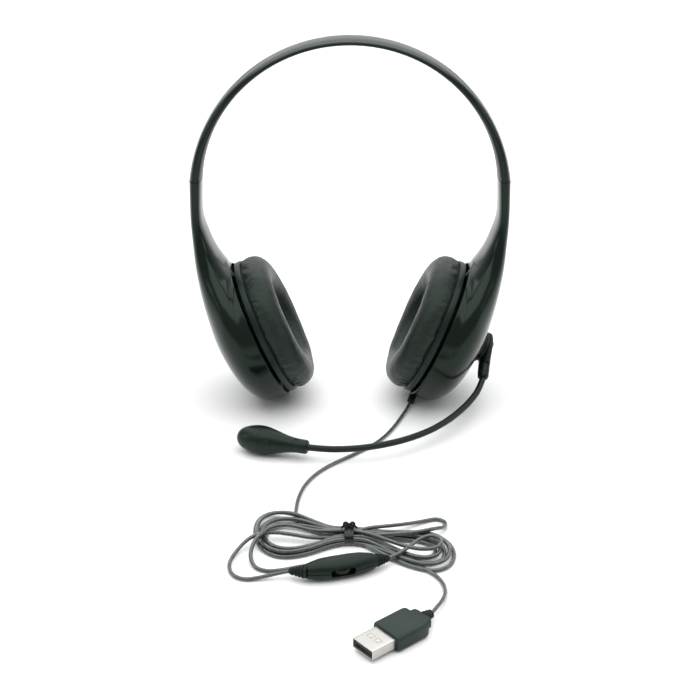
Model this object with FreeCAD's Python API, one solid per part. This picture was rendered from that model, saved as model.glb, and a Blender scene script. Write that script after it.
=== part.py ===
import FreeCAD, Part
import math
import os

V = FreeCAD.Vector

# Where the middle of the headband's plane stands in the part's frame, so that the headset
# itself, without its cord, is centred over the origin (mm, +Z up, the table at Z = 0).
MID_X, MID_Y = 0.0, 20.1

# ---- headband ----
BAND_RADIUS, BAND_CENTRE_Z = 81.8, 111.3      # outer arc
LINER_RADIUS, LINER_CENTRE_Z = 75.0, 115.0    # inner arc
SEAM_Z, SEAM_GAP = 122.2, 0.3                 # where the band meets the sliding arms
BAND_END_WIDTH, BAND_TOP_WIDTH = 9.6, 8.6     # half widths at the seam and at the top
BAND_SECTIONS, BAND_SQUARENESS = 13, 2.6
LINER_THICK, SPRING_THICK, SPRING_HALF_WIDTH, POCKET_GAP = 1.1, 0.6, 3.4, 0.12

# ---- sliders ----
TONGUE_X, TONGUE_THICK, TONGUE_HALF_WIDTH = -79.0, 1.3, 6.0
TONGUE_DEPTH, TONGUE_ROOT = 33.0, 5.2
SLOT_X, SLOT_WIDTH, SLOT_DEPTH = -79.3, 2.25, 36.0
SCREW_RADIUS, SCREW_LENGTH = 1.0, 3.2
SCREW_X, SCREW_Y, SCREW_Z = -79.9, 3.6, 124.8

# ---- cups: axial places run from the groove behind the cushion, towards the head ----
CUP_X, CUP_Z = -42.5, 40.9
CUP_TILT, CUP_YAW = 23.4, 5.0
RIM_RADIUS, RIM_AXIAL = 38.0, -5.4
RING_RADIUS, RING_BACK, RING_FRONT = 37.0, -3.8, -0.4
CAVITY_RADIUS, CAVITY_DEPTH = 35.4, -25.2
TILT_AXIAL, PIN_RADIUS, PIN_CLEARANCE = -19.0, 1.5, 0.06
CUSHION_RADIUS, CUSHION_CREST, EAR_RADIUS = 37.2, 13.5, 18.0
DRIVER_RADIUS = 20.0

# inner edge (x, z), outer edge (x, z), half width and squareness of the arm's sections,
# from the seam down and round to the cup's rim
ARM_SECTIONS = (
    (-74.7, 122.05, -81.1, 122.05, 9.6, 2.8),
    (-75.3, 103.0, -81.4, 103.0, 10.4, 2.8),
    (-72.6, 91.5, -80.7, 88.0, 12.6, 2.8),
    (-69.0, 82.8, -79.4, 72.5, 17.6, 2.6),
    (-65.6, 77.2, -75.5, 52.0, 26.0, 2.3),
    (-63.7, 75.0, -68.8, 30.0, 33.6, 2.1),
    (-62.95, 74.2, -57.2, 9.3, 37.4, 2.0),
    (-62.7, 73.9, -44.4, 0.5, 38.1, 2.0),
)
SECTION_POINTS = 20
SHOULDER = 4          # the section where the arm's loft hands over to the cup's

# ---- boom: its hub stands on the right cup's own axis ----
SHELL_APEX, HUB_RADIUS, HUB_THICK, AXLE_RADIUS = -29.6, 8.0, 3.6, 2.0
LEVER_WIDE, LEVER_THICK = 6.4, 3.4
SOCKET_END = V(69.9, -18.1, 17.8)
GOOSENECK_DIAMETER = 3.3
GOOSENECK_ROUTE = (
    (69.9, -18.1, 17.8), (67.6, -25.6, 15.4), (62.6, -34.2, 12.8), (55.8, -43.6, 10.9),
    (48.0, -52.6, 9.6), (38.8, -61.0, 8.8), (28.6, -67.6, 8.3), (18.0, -72.2, 7.9),
    (7.2, -75.2, 7.6), (-3.4, -76.4, 7.4), (-12.6, -76.0, 7.3), (-19.6, -74.5, 7.3),
)
MIC_SLEEVE_START, MIC_TIP = V(-19.6, -74.5, 7.3), V(-56.1, -62.5, 7.3)
MIC_RADIUS, SLEEVE_LENGTH = 7.25, 8.0

# ---- cord: routes chosen by hand, on the table the centre line is half a diameter up ----
CORD_DIAMETER = 1.8
RELIEF_START, RELIEF_END = V(35.9, -4.4, 6.2), V(32.1, -15.0, 2.0)
LEAD_ROUTE = (
    (32.1, -15.0, 2.0), (30.0, -21.0, 1.1), (27.0, -29.4, 0.9), (22.8, -40.8, 0.9), (17.2, -52.4, 0.9),
    (9.8, -62.4, 0.9), (0.4, -71.0, 0.9), (-9.0, -79.8, 0.9), (-16.4, -88.6, 0.9), (-21.6, -99.4, 0.9),
    (-24.2, -110.6, 0.9), (-25.0, -121.0, 0.9), (-25.0, -130.2, 0.9),
)
PLUG_ROUTE = (
    (34.8, -173.4, 0.9), (37.6, -176.9, 0.9), (39.6, -181.4, 0.9), (40.3, -186.4, 1.1), (39.8, -191.6, 1.7),
    (38.2, -197.0, 2.6), (35.8, -202.2, 3.4), (33.1, -207.3, 3.7),
)
# the tied bow: its outline about the tie
BUNDLE_TIE, BUNDLE_TURN, BUNDLE_HEIGHT = V(-0.4, -146.2, 0), 0.0, 6.0
BUNDLE_OUTLINE = (
    (-53, -16), (-45, 3), (-34, 15), (-22, 17), (-10, 9), (0, 5), (14, 7), (30, 12), (42, 15), (46, 6),
    (47, -14), (43, -22), (35, -27.2), (25, -27.2), (20, -20), (16, -11), (0, -8), (-14, -13), (-24, -21),
    (-28, -31), (-44, -31),
)
TIE_WAIST, TIE_THICK, TIE_HEIGHT = 11.0, 0.7, 6.6

# ---- inline volume control ----
CONTROL_LEFT, CONTROL_RIGHT = V(-18.7, -178.4, 4.6), V(10.6, -170.0, 4.6)
CONTROL_WIDTH, CONTROL_HEIGHT = 11.0, 9.0
CONTROL_LEFT_CORD, CONTROL_RIGHT_CORD = V(-26.0, -176.2, 3.4), V(16.8, -166.2, 3.4)
WHEEL_RADIUS, WHEEL_THICK, WHEEL_OFFSET, WHEEL_NOTCHES = 4.4, 2.2, -0.7, 18

# ---- USB plug: its axis runs from the mouth back to the cord ----
PLUG_MOUTH, PLUG_ENTRY = V(4.9, -231.0, 3.75), V(33.1, -207.3, 3.75)
SHELL_WIDTH, SHELL_HEIGHT, SHELL_WALL, SHELL_OUT = 12.0, 4.5, 0.3, 12.0
OVERMOULD_WIDTH, OVERMOULD_HEIGHT = 15.6, 7.4

NODES = {}


def keep(name, shape):
    """Holds a finished node until the files are written."""
    NODES[name] = shape


def cup_axes():
    """The left cup's up, across and inward directions."""
    tilt, yaw = math.radians(CUP_TILT), math.radians(CUP_YAW)
    inward = V(math.cos(tilt) * math.cos(yaw), math.cos(tilt) * math.sin(yaw), math.sin(tilt))
    up = V(-math.sin(tilt) * math.cos(yaw), -math.sin(tilt) * math.sin(yaw), math.cos(tilt))
    return up, inward.cross(up), inward


def frame_matrix(x_dir, y_dir, z_dir, origin):
    """A matrix that carries a shape from its own axes to the given ones."""
    return FreeCAD.Matrix(x_dir.x, y_dir.x, z_dir.x, origin.x,
                          x_dir.y, y_dir.y, z_dir.y, origin.y,
                          x_dir.z, y_dir.z, z_dir.z, origin.z,
                          0, 0, 0, 1)


def placed(shape, matrix):
    """A copy of the shape carried by the matrix."""
    return shape.transformed(matrix, copy=True)


def in_cup(shape):
    """Carries a shape from the cup's axes (Z towards the head) to the left cup."""
    up, across, inward = cup_axes()
    return placed(shape, frame_matrix(up, across, inward, V(CUP_X, 0, CUP_Z)))


def same(shape):
    """A left-hand shape stays as it is."""
    return shape


def mirrored(shape):
    """The right-hand twin of a left-hand shape."""
    return shape.mirror(V(0, 0, 0), V(1, 0, 0))


def turned(points):
    """A solid of revolution about Z from (radius, height) corners."""
    corners = [V(radius, 0, height) for radius, height in points]
    face = Part.Face(Part.makePolygon(corners + corners[:1]))
    return face.revolve(V(0, 0, 0), V(0, 0, 1), 360)


def disc(radius, low, high, hole=0.0):
    """A round plate or ring between two heights."""
    plate = Part.makeCylinder(radius, high - low, V(0, 0, low))
    if hole:
        plate = plate.cut(Part.makeCylinder(hole, high - low + 2, V(0, 0, low - 1)))
    return plate


def block(x_low, x_high, y_low, y_high, z_low, z_high):
    """A box between the given limits."""
    return Part.makeBox(x_high - x_low, y_high - y_low, z_high - z_low, V(x_low, y_low, z_low))


def joined(shapes):
    """Several overlapping solids made one."""
    whole = shapes[0].fuse(shapes[1:])
    return whole.removeSplitter()


def group(shapes):
    """Separate solids kept in one node."""
    return Part.makeCompound(shapes)


def section_wire(inner_x, inner_z, outer_x, outer_z, half_width, squareness):
    """A closed rounded outline across the band or arm, between its inner and outer edge."""
    middle = V((inner_x + outer_x) / 2, 0, (inner_z + outer_z) / 2)
    reach = V((outer_x - inner_x) / 2, 0, (outer_z - inner_z) / 2)
    power = 2.0 / squareness
    points = []
    for step in range(SECTION_POINTS):
        angle = 2 * math.pi * step / SECTION_POINTS
        along = math.copysign(abs(math.cos(angle)) ** power, math.cos(angle))
        across = math.copysign(abs(math.sin(angle)) ** power, math.sin(angle))
        points.append(middle + reach * along + V(0, half_width * across, 0))
    outline = Part.BSplineCurve()
    outline.interpolate(Points=points, PeriodicFlag=True)
    return Part.Wire(outline.toShape())


# ---------------------------------------------------------------- headband
def arc_drum(radius, centre_z):
    """A drum across the band, whose round edge follows one of the band's arcs."""
    return Part.makeCylinder(radius, 60, V(0, -30, centre_z), V(0, 1, 0))


def arc_point(radius, centre_z, share):
    """A point on an arc, from the left seam (0) over the top to the right seam (1)."""
    end_z = SEAM_Z + SEAM_GAP / 2
    start = math.asin((end_z - centre_z) / radius)
    angle = math.pi - start - share * (math.pi - 2 * start)
    return radius * math.cos(angle), centre_z + radius * math.sin(angle)


def band_solid():
    """The whole crowned arch, from seam to seam."""
    wires = []
    for index in range(BAND_SECTIONS):
        share = index / (BAND_SECTIONS - 1)
        inner = arc_point(LINER_RADIUS, LINER_CENTRE_Z, share)
        outer = arc_point(BAND_RADIUS, BAND_CENTRE_Z, share)
        width = BAND_END_WIDTH + (BAND_TOP_WIDTH - BAND_END_WIDTH) * math.sin(math.pi * share)
        wires.append(section_wire(*inner, *outer, width, BAND_SQUARENESS))
    middle = BAND_SECTIONS // 2
    halves = [Part.makeLoft(part, True, False) for part in (wires[:middle + 1], wires[middle:])]
    return joined(halves)


def build_headband():
    band = band_solid()
    seat = LINER_RADIUS + LINER_THICK
    liner = band.common(arc_drum(seat, LINER_CENTRE_Z))
    spring_roof, spring_floor = seat + SPRING_THICK + 2 * POCKET_GAP, seat
    pocket = arc_drum(spring_roof, LINER_CENTRE_Z).cut(arc_drum(spring_floor, LINER_CENTRE_Z))
    spring = arc_drum(spring_roof - POCKET_GAP, LINER_CENTRE_Z)
    spring = spring.cut(arc_drum(spring_floor + POCKET_GAP, LINER_CENTRE_Z))
    spring_low = SEAM_Z + TONGUE_ROOT + 3
    slot = block(-100, 100, -SPRING_HALF_WIDTH - POCKET_GAP, SPRING_HALF_WIDTH + POCKET_GAP, spring_low, 220)
    bar = block(-100, 100, -SPRING_HALF_WIDTH, SPRING_HALF_WIDTH, spring_low + POCKET_GAP, 220)
    outer = band.cut(arc_drum(seat, LINER_CENTRE_Z)).cut(pocket.common(slot))
    root = block(TONGUE_X - 0.1, TONGUE_X + TONGUE_THICK + 0.1, -TONGUE_HALF_WIDTH - 0.1,
                 TONGUE_HALF_WIDTH + 0.1, SEAM_Z - 1, SEAM_Z + TONGUE_ROOT + 0.1)
    screws = []
    for flip in (same, mirrored):
        outer = outer.cut(flip(root))
        for screw_y in (SCREW_Y, -SCREW_Y):
            screw = Part.makeCylinder(SCREW_RADIUS, SCREW_LENGTH, V(SCREW_X, screw_y, SCREW_Z), V(1, 0, 0))
            screws.append(flip(screw))
            outer = outer.cut(screws[-1])
    keep("band_outer", outer)
    keep("band_inner_liner", liner)
    keep("band_spring", spring.common(bar))
    keep("slider_screws", group(screws))


def build_slider(side_name, flip):
    """The tongue that is screwed to the band's end and slides in the arm."""
    tongue = block(TONGUE_X, TONGUE_X + TONGUE_THICK, -TONGUE_HALF_WIDTH, TONGUE_HALF_WIDTH,
                   SEAM_Z - TONGUE_DEPTH, SEAM_Z + TONGUE_ROOT)
    for screw_y in (SCREW_Y, -SCREW_Y):
        tongue = tongue.cut(Part.makeCylinder(SCREW_RADIUS, 6, V(-82, screw_y, SCREW_Z), V(1, 0, 0)))
    for notch in range(7):
        notch_z = SEAM_Z - 4 - notch * 4
        tongue = tongue.cut(Part.makeCylinder(0.6, 3, V(-80, TONGUE_HALF_WIDTH, notch_z), V(1, 0, 0)))
    keep(side_name + "_slider_tongue", flip(tongue))
    spring_x = SLOT_X + SLOT_WIDTH
    spring = block(spring_x - 0.35, spring_x - 0.05, -3, 3, SEAM_Z - 20, SEAM_Z - 4)
    keep(side_name + "_detent_spring", flip(spring))


# ---------------------------------------------------------------- arm and cup shell
def rim_section():
    """The arm's last outline: the round rim of the cup."""
    tilt = math.radians(CUP_TILT)
    up, inward = V(-math.sin(tilt), 0, math.cos(tilt)), V(math.cos(tilt), 0, math.sin(tilt))
    centre = V(CUP_X, 0, CUP_Z) + inward * RIM_AXIAL
    top, bottom = centre + up * RIM_RADIUS, centre - up * RIM_RADIUS
    return top.x, top.z, bottom.x, bottom.z, RIM_RADIUS, 2.0


def cup_cavity():
    """The hollow of the shell, in the cup's axes."""
    return turned(((0, 0), (CAVITY_RADIUS, 0), (35.0, -12.4), (32.2, -17), (28.6, -20.2),
                   (23.6, -22.8), (18, -24.0), (10, -24.9), (0, CAVITY_DEPTH)))


def build_arm_shell(side_name, flip, has_boom):
    sections = ARM_SECTIONS + (rim_section(),)
    wires = []
    for index, section in enumerate(sections):
        wire = section_wire(*section)
        wire.rotate(V(CUP_X, 0, 0), V(0, 0, 1), CUP_YAW * min(1.0, max(0.0, (index - 2) / 4)))
        wires.append(wire)
    upper = Part.makeLoft(wires[:SHOULDER + 1], True, False)
    lower = Part.makeLoft(wires[SHOULDER:], True, False)
    shell = joined([upper, lower])
    cavity = in_cup(cup_cavity())
    slot = block(SLOT_X, SLOT_X + SLOT_WIDTH, -TONGUE_HALF_WIDTH - 0.35, TONGUE_HALF_WIDTH + 0.35,
                 SEAM_Z - SLOT_DEPTH, SEAM_Z + 1)
    shell = shell.cut(cavity).cut(slot)
    if has_boom:
        shell = shell.cut(in_cup(disc(AXLE_RADIUS + PIN_CLEARANCE, -40, -20)))
    keep(side_name + "_arm_shell", flip(shell))


# ---------------------------------------------------------------- cup module
def build_tilt_yoke(side_name, flip):
    """Two lugs inside the dome that hold the pins on which the cup module tilts."""
    reach = 8.0
    base = disc(12, CAVITY_DEPTH, CAVITY_DEPTH + 2.2, hole=6.0).common(cup_cavity())
    lugs = [block(-3.5, 3.5, low, low + 3, CAVITY_DEPTH + 1, TILT_AXIAL + 3) for low in (-reach - 3, reach)]
    yoke = joined([base] + lugs)
    bore = Part.makeCylinder(PIN_RADIUS, 40, V(0, -20, TILT_AXIAL), V(0, 1, 0))
    keep(side_name + "_tilt_yoke", flip(in_cup(yoke.cut(bore))))
    pins = [Part.makeCylinder(PIN_RADIUS, 7.6, V(0, start, TILT_AXIAL), V(0, 1, 0))
            for start in (-reach - 3.2, reach + 3.2 - 7.6)]
    keep(side_name + "_tilt_pins", flip(in_cup(group(pins))))


def build_cup_module(side_name, flip):
    def hold(name, shape):
        keep(side_name + "_" + name, flip(in_cup(shape)))

    baffle = turned(((DRIVER_RADIUS + 0.1, -3.2), (29, -3.2), (31, RING_BACK), (RING_RADIUS - 0.6, RING_BACK),
                     (RING_RADIUS, RING_BACK + 0.6), (RING_RADIUS, RING_FRONT - 0.5),
                     (RING_RADIUS - 0.5, RING_FRONT), (30, RING_FRONT), (29, -1.4), (DRIVER_RADIUS + 0.1, -1.4)))
    hold("baffle", baffle)
    cover = turned(((0, -15), (21, -15), (24.5, -11), (24.5, -3.25), (22.9, -3.25), (22.9, -10.4),
                    (20.4, -13.4), (0, -13.4)))
    boss = block(-4, 4, -6.4, 6.4, TILT_AXIAL - 2.6, -14)
    bore = Part.makeCylinder(PIN_RADIUS + PIN_CLEARANCE, 40, V(0, -20, TILT_AXIAL), V(0, 1, 0))
    hold("back_cover", joined([cover, boss]).cut(bore))
    hold("driver_frame", turned(((9, -8.4), (14, -8.4), (DRIVER_RADIUS, -4), (DRIVER_RADIUS, -1.8),
                                 (18, -1.8), (18, -3.4), (13, -7), (9, -7))))
    hold("driver_magnet", turned(((0, -12.4), (9.5, -12.4), (9.5, -8.5), (0, -8.5))))
    hold("diaphragm", turned(((0, -4.6), (8, -5.6), (17.6, -2.9), (17.6, -2.6), (8, -5.2), (0, -4.2))))
    grille = disc(DRIVER_RADIUS, -1.6, -0.8)
    for count, circle in ((1, 0.0), (6, 5.5), (12, 11.0)):
        for hole in range(count):
            angle = 2 * math.pi * hole / count
            centre = V(circle * math.cos(angle), circle * math.sin(angle), -3)
            grille = grille.cut(Part.makeCylinder(1.2, 4, centre))
    hold("grille", grille)
    hold("scrim", disc(25, -0.3, 0.4))
    hold("cushion_plate", disc(35.2, RING_FRONT, 0.3, hole=26))
    hold("cushion", turned(((EAR_RADIUS + 2, 0.5), (EAR_RADIUS, 3), (EAR_RADIUS, 8), (20.5, 11.4), (24, 13),
                            (27.6, CUSHION_CREST), (31.4, 12.8), (34.8, 10.6), (36.8, 7), (CUSHION_RADIUS, 4.4),
                            (36.6, 1.6), (35.4, 0.5))))


# ---------------------------------------------------------------- cords
def rounded_path(points):
    """Straight runs joined by tangent arcs, each arc as large as its runs allow."""
    corners = [V(*point) for point in points]
    edges, start, radii = [], corners[0], []
    for before, corner, after in zip(corners, corners[1:], corners[2:]):
        back, ahead = (before - corner), (after - corner)
        shorter = min(back.Length, ahead.Length)
        back.normalize()
        ahead.normalize()
        half_turn = (math.pi - back.getAngle(ahead)) / 2
        trim = 0.45 * shorter
        radius = trim / math.tan(half_turn)
        radii.append(round(radius, 1))
        arc_start, arc_end = corner + back * trim, corner + ahead * trim
        bisector = (back + ahead).normalize()
        arc_middle = corner + bisector * (radius / math.cos(half_turn) - radius)
        edges.append(Part.LineSegment(start, arc_start).toShape())
        edges.append(Part.Arc(arc_start, arc_middle, arc_end).toShape())
        start = arc_end
    edges.append(Part.LineSegment(start, corners[-1]).toShape())
    return Part.Wire(edges), radii


def tube(name, points, diameter):
    """A round tube swept along the rounded path."""
    path, radii = rounded_path(points)
    first = path.Edges[0]
    ring = Part.Wire(Part.Circle(first.Vertexes[0].Point, first.tangentAt(first.FirstParameter),
                                 diameter / 2).toShape())
    solid = path.makePipeShell([ring], True, False)
    section = math.pi * diameter ** 2 / 4
    print(name, "length", round(path.Length, 1), "radii", radii,
          "volume ratio", round(solid.Volume / (section * path.Length), 4))
    return solid


def along(start, end, shape):
    """Carries a shape built along +X from 0 onto the line from start to end, Y level."""
    x_dir = (end - start).normalize()
    y_dir = V(0, 0, 1).cross(x_dir).normalize()
    return placed(shape, frame_matrix(x_dir, y_dir, x_dir.cross(y_dir), start))


def turned_along(start, end, profile):
    """A turned solid on the line from start to end, from (distance, radius) corners."""
    solid = turned([(radius, distance) for distance, radius in profile])
    axis = (end - start).normalize()
    side = V(0, 0, 1).cross(axis).normalize()
    return placed(solid, frame_matrix(side, axis.cross(side), axis, start))


def strain_relief(start, end, first_radius, last_radius):
    length = (end - start).Length
    return turned_along(start, end, ((0, 0), (0, first_radius), (length, last_radius), (length, 0)))


def build_cord():
    relief = strain_relief(RELIEF_START, RELIEF_END, 2.1, 1.3)
    shell = NODES["right_arm_shell"]
    NODES["right_arm_shell"] = shell.cut(relief)
    keep("cord_strain_relief", relief)
    keep("cord_headset_lead", tube("cord_headset_lead", LEAD_ROUTE, CORD_DIAMETER))
    keep("cord_plug_lead", tube("cord_plug_lead", PLUG_ROUTE, CORD_DIAMETER))


def build_bundle():
    """The tied bow of cord as one flat solid, and the twist tie round its waist."""
    turn = FreeCAD.Rotation(V(0, 0, 1), BUNDLE_TURN).toMatrix()
    move = FreeCAD.Matrix()
    move.move(BUNDLE_TIE)
    spot = move * turn
    corners = [V(x, y, 0) for x, y in BUNDLE_OUTLINE]
    bow = Part.Face(Part.makePolygon(corners + corners[:1])).extrude(V(0, 0, BUNDLE_HEIGHT))
    waist = TIE_WAIST / 2
    outside = block(-2, 2, -waist - TIE_THICK, waist + TIE_THICK, 0, TIE_HEIGHT)
    inside = block(-3, 3, -waist, waist, TIE_THICK, TIE_HEIGHT - TIE_THICK)
    bow = bow.cut(block(-2.1, 2.1, -30, 30, -1, 20)).fuse(block(-2.1, 2.1, -waist + 0.2, waist - 0.2,
                                                              TIE_THICK + 0.2, TIE_HEIGHT - TIE_THICK - 0.2))
    strap = outside.cut(inside)
    knot = Part.makeCylinder(1.0, 2.6, V(0, 0, TIE_HEIGHT - 0.4))
    ears = [Part.makeTorus(1.3, 0.45, V(side * 1.5, 0, TIE_HEIGHT + 2.0), V(0.3 * side, 1, 0)) for side in (1, -1)]
    bow = placed(bow.removeSplitter(), spot)
    keep("cord_bundle", bow.cut(NODES["cord_headset_lead"]).cut(NODES["cord_plug_lead"]))
    keep("twist_tie", placed(joined([strap, knot] + ears), spot))


def build_control():
    """The spindle-shaped inline volume control, split level with its wheel."""
    start, end = CONTROL_LEFT, CONTROL_RIGHT
    length = (end - start).Length
    middle = length / 2
    full = CONTROL_WIDTH / 2

    def spindle(shrink):
        ends = shrink * 1.3
        return ((ends, 0), (ends, 3.3 - shrink), (length * 0.2, 4.7 - shrink), (length * 0.36, full - shrink),
                (length * 0.64, full - shrink), (length * 0.8, 4.7 - shrink), (length - ends, 3.3 - shrink),
                (length - ends, 0))

    def local(shape):
        return along(start, end, shape)

    body = turned_along(start, end, spindle(0))
    body = body.common(block(-200, 200, -300, 0, 0.1, 0.1 + CONTROL_HEIGHT))
    body = body.cut(turned_along(start, end, spindle(1.2)))
    window = block(middle - 5.6, middle + 5.6, -9, -1, -1.8, 1.8)
    screw = Part.makeCylinder(0.9, 5.6, V(5.2, 0, -3.9))
    body = body.cut(local(window)).cut(local(screw))
    split = start.z
    keep("control_top", body.common(block(-200, 200, -300, 0, split, 40)))
    keep("control_bottom", body.common(block(-200, 200, -300, 0, -1, split)))
    keep("control_screw", local(screw))
    board = block(7.6, length - 7.6, -2.5, 2.5, -2.8, -2.1)
    pot = Part.makeCylinder(2.4, 0.7, V(middle, WHEEL_OFFSET, -2.2))
    shaft = Part.makeCylinder(1.0, 4.4, V(middle, WHEEL_OFFSET, -2.2))
    keep("control_board", local(joined([board, pot, shaft])))
    wheel = Part.makeCylinder(WHEEL_RADIUS, WHEEL_THICK, V(middle, WHEEL_OFFSET, -WHEEL_THICK / 2))
    wheel = wheel.cut(Part.makeCylinder(1.0 + PIN_CLEARANCE, 9, V(middle, WHEEL_OFFSET, -4)))
    for tooth in range(WHEEL_NOTCHES):
        angle = 2 * math.pi * tooth / WHEEL_NOTCHES
        spot = V(middle + (WHEEL_RADIUS + 0.25) * math.cos(angle),
                 WHEEL_OFFSET + (WHEEL_RADIUS + 0.25) * math.sin(angle), -3)
        wheel = wheel.cut(Part.makeCylinder(0.45, 6, spot))
    keep("volume_wheel", local(wheel))
    casing = turned_along(start, end, spindle(0))
    for name, joint, cord_end in (("left", start, CONTROL_LEFT_CORD), ("right", end, CONTROL_RIGHT_CORD)):
        keep("control_relief_" + name, strain_relief(joint, cord_end, 3.0, 1.4).cut(casing))


def build_plug():
    """The USB plug, lying flat; X runs from its mouth back to the cord."""
    def local(shape):
        return along(PLUG_MOUTH, PLUG_ENTRY, shape)

    length = (PLUG_ENTRY - PLUG_MOUTH).Length
    wide, high, wall = SHELL_WIDTH / 2, SHELL_HEIGHT / 2, SHELL_WALL
    shell = block(0, SHELL_OUT + 5, -wide, wide, -high, high)
    shell = shell.cut(block(-1, SHELL_OUT + 6, -wide + wall, wide - wall, -high + wall, high - wall))
    for hole_y in (-3.4, 0.9):
        shell = shell.cut(block(5, 7.4, hole_y, hole_y + 2.5, -4, 4))
    keep("plug_shell", local(shell))
    tongue = block(0.6, SHELL_OUT + 5, -wide + wall, wide - wall, -0.1, high - wall)
    contacts = [block(1.6, 9.6, y - 0.5, y + 0.5, -0.3, -0.1) for y in (-3.5, -1.0, 1.0, 3.5)]
    keep("plug_tongue", local(tongue))
    keep("plug_contacts", local(group(contacts)))
    half, tall = OVERMOULD_WIDTH / 2, OVERMOULD_HEIGHT / 2
    block_end, step_end = SHELL_OUT + 17, SHELL_OUT + 20.5
    main_body = block(SHELL_OUT, block_end, -half, half, -tall, tall)
    upright = [edge for edge in main_body.Edges if abs(edge.Vertexes[0].Point.x - edge.Vertexes[-1].Point.x) > 1
               or abs(edge.Vertexes[0].Point.z - edge.Vertexes[-1].Point.z) > 1]
    main_body = main_body.makeFillet(1.1, upright)
    step = block(block_end - 1, step_end, -half + 2.4, half - 2.4, -tall + 1.2, tall - 1.2)
    neck = Part.makeCone(2.6, 1.6, length - step_end + 0.5, V(step_end - 0.5, 0, 0), V(1, 0, 0))
    overmould = joined([main_body, step, neck])
    overmould = overmould.cut(block(SHELL_OUT - 1, SHELL_OUT + 5, -wide, wide, -high, high))
    overmould = overmould.cut(block(SHELL_OUT + 5, SHELL_OUT + 15, -5.4, 5.4, -1.6, 1.6))
    keep("plug_overmould", local(overmould).cut(NODES["cord_plug_lead"]))
    keep("plug_board", local(block(SHELL_OUT + 5.2, SHELL_OUT + 14.6, -5, 5, -0.5, 0.5)))


# ---------------------------------------------------------------- boom and microphone
def build_lever(centre, inward):
    """The flat lever that narrows from the hub to the gooseneck's socket."""
    reach = (SOCKET_END - centre).Length
    ahead = (SOCKET_END - centre).normalize()
    across = inward.cross(ahead).normalize()
    corners = [V(2, -LEVER_WIDE, 0), V(reach - 8, -2.6, 0), V(reach - 8, 2.6, 0), V(2, LEVER_WIDE, 0)]
    web = Part.Face(Part.makePolygon(corners + corners[:1])).extrude(V(0, 0, LEVER_THICK))
    web.translate(V(0, 0, -LEVER_THICK / 2))
    web = placed(web, frame_matrix(ahead, across, ahead.cross(across), centre))
    cup = turned_along(centre, SOCKET_END, ((reach - 12, 0), (reach - 12, 2.0), (reach - 7, 2.9),
                                            (reach - 1, 2.7), (reach, 2.3), (reach, 0)))
    return joined([web, cup])


def build_boom():
    hub_back = SHELL_APEX - 0.9
    keep("boom_washer", mirrored(in_cup(disc(HUB_RADIUS + 0.6, SHELL_APEX - 0.6, SHELL_APEX + 3.0,
                                             hole=AXLE_RADIUS + 0.3))))
    NODES["boom_washer"] = NODES["boom_washer"].cut(NODES["right_arm_shell"])
    hub = mirrored(in_cup(disc(HUB_RADIUS, hub_back - HUB_THICK, hub_back, hole=AXLE_RADIUS)))
    keep("boom_hub", hub)
    keep("boom_axle", mirrored(in_cup(disc(AXLE_RADIUS, hub_back - HUB_THICK, CAVITY_DEPTH + 2.6))))
    keep("boom_retainer", mirrored(in_cup(disc(4.2, CAVITY_DEPTH + 0.8, CAVITY_DEPTH + 2.0, hole=AXLE_RADIUS))))
    inward = cup_axes()[2]
    centre = V(CUP_X, 0, CUP_Z) + inward * (hub_back - HUB_THICK / 2)
    centre.x, inward.x = -centre.x, -inward.x
    lever = build_lever(centre, inward)
    gooseneck = tube("boom_gooseneck", GOOSENECK_ROUTE, GOOSENECK_DIAMETER)
    hub_space = mirrored(in_cup(disc(HUB_RADIUS, hub_back - 2 * HUB_THICK, hub_back + HUB_THICK)))
    keep("boom_socket", lever.cut(hub_space).cut(NODES["boom_washer"]).cut(gooseneck))
    keep("boom_gooseneck", gooseneck)
    build_microphone()


def build_microphone():
    start, tip = MIC_SLEEVE_START, MIC_TIP
    length = (tip - start).Length

    def piece(name, profile):
        keep(name, turned_along(start, tip, profile))

    piece("mic_sleeve", ((0, 0), (0, 2.5), (1.4, 2.7), (1.4, 3.1), (SLEEVE_LENGTH, 3.4), (SLEEVE_LENGTH, 0)))
    NODES["mic_sleeve"] = NODES["mic_sleeve"].cut(NODES["boom_gooseneck"])
    joint = length * 0.66
    piece("mic_rear_shell", ((SLEEVE_LENGTH, 0), (SLEEVE_LENGTH, 3.5), (SLEEVE_LENGTH + 5, 4.5),
                             (length * 0.48, 6.3), (joint, MIC_RADIUS), (joint, MIC_RADIUS - 1.2),
                             (length * 0.46, 5.0), (SLEEVE_LENGTH + 6, 3.2), (SLEEVE_LENGTH + 3, 0)))
    piece("mic_front_shell", ((joint, MIC_RADIUS - 1.2), (joint, MIC_RADIUS), (length * 0.8, 6.9),
                              (length * 0.9, 5.4), (length * 0.97, 3.3), (length, 1.6), (length - 1.2, 1.3),
                              (length * 0.88, 4.2), (length * 0.79, 5.7)))
    piece("mic_element", ((joint + 0.6, 0), (joint + 0.6, 4.9), (joint + 5.2, 4.9), (joint + 5.2, 0)))


def main():
    build_headband()
    for side_name, flip in (("left", same), ("right", mirrored)):
        build_slider(side_name, flip)
        build_arm_shell(side_name, flip, side_name == "right")
        build_tilt_yoke(side_name, flip)
        build_cup_module(side_name, flip)
    build_cord()
    build_bundle()
    build_control()
    build_plug()
    build_boom()
    os.makedirs("parts", exist_ok=True)
    for name, shape in NODES.items():
        shape.translate(V(MID_X, MID_Y, 0))
        if not shape.isValid():
            print("not valid:", name)
        shape.exportStep("parts/" + name + ".step")


main()
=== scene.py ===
"""The looks of an office headset with a boom microphone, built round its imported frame."""
import logging
import math
from collections.abc import Callable, Iterable, Sequence
from dataclasses import dataclass, field
from enum import Enum
from typing import Any

import bmesh
import bpy
from bmesh.types import BMesh, BMEdge, BMVert
from mathutils import Matrix, Vector, noise


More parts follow.
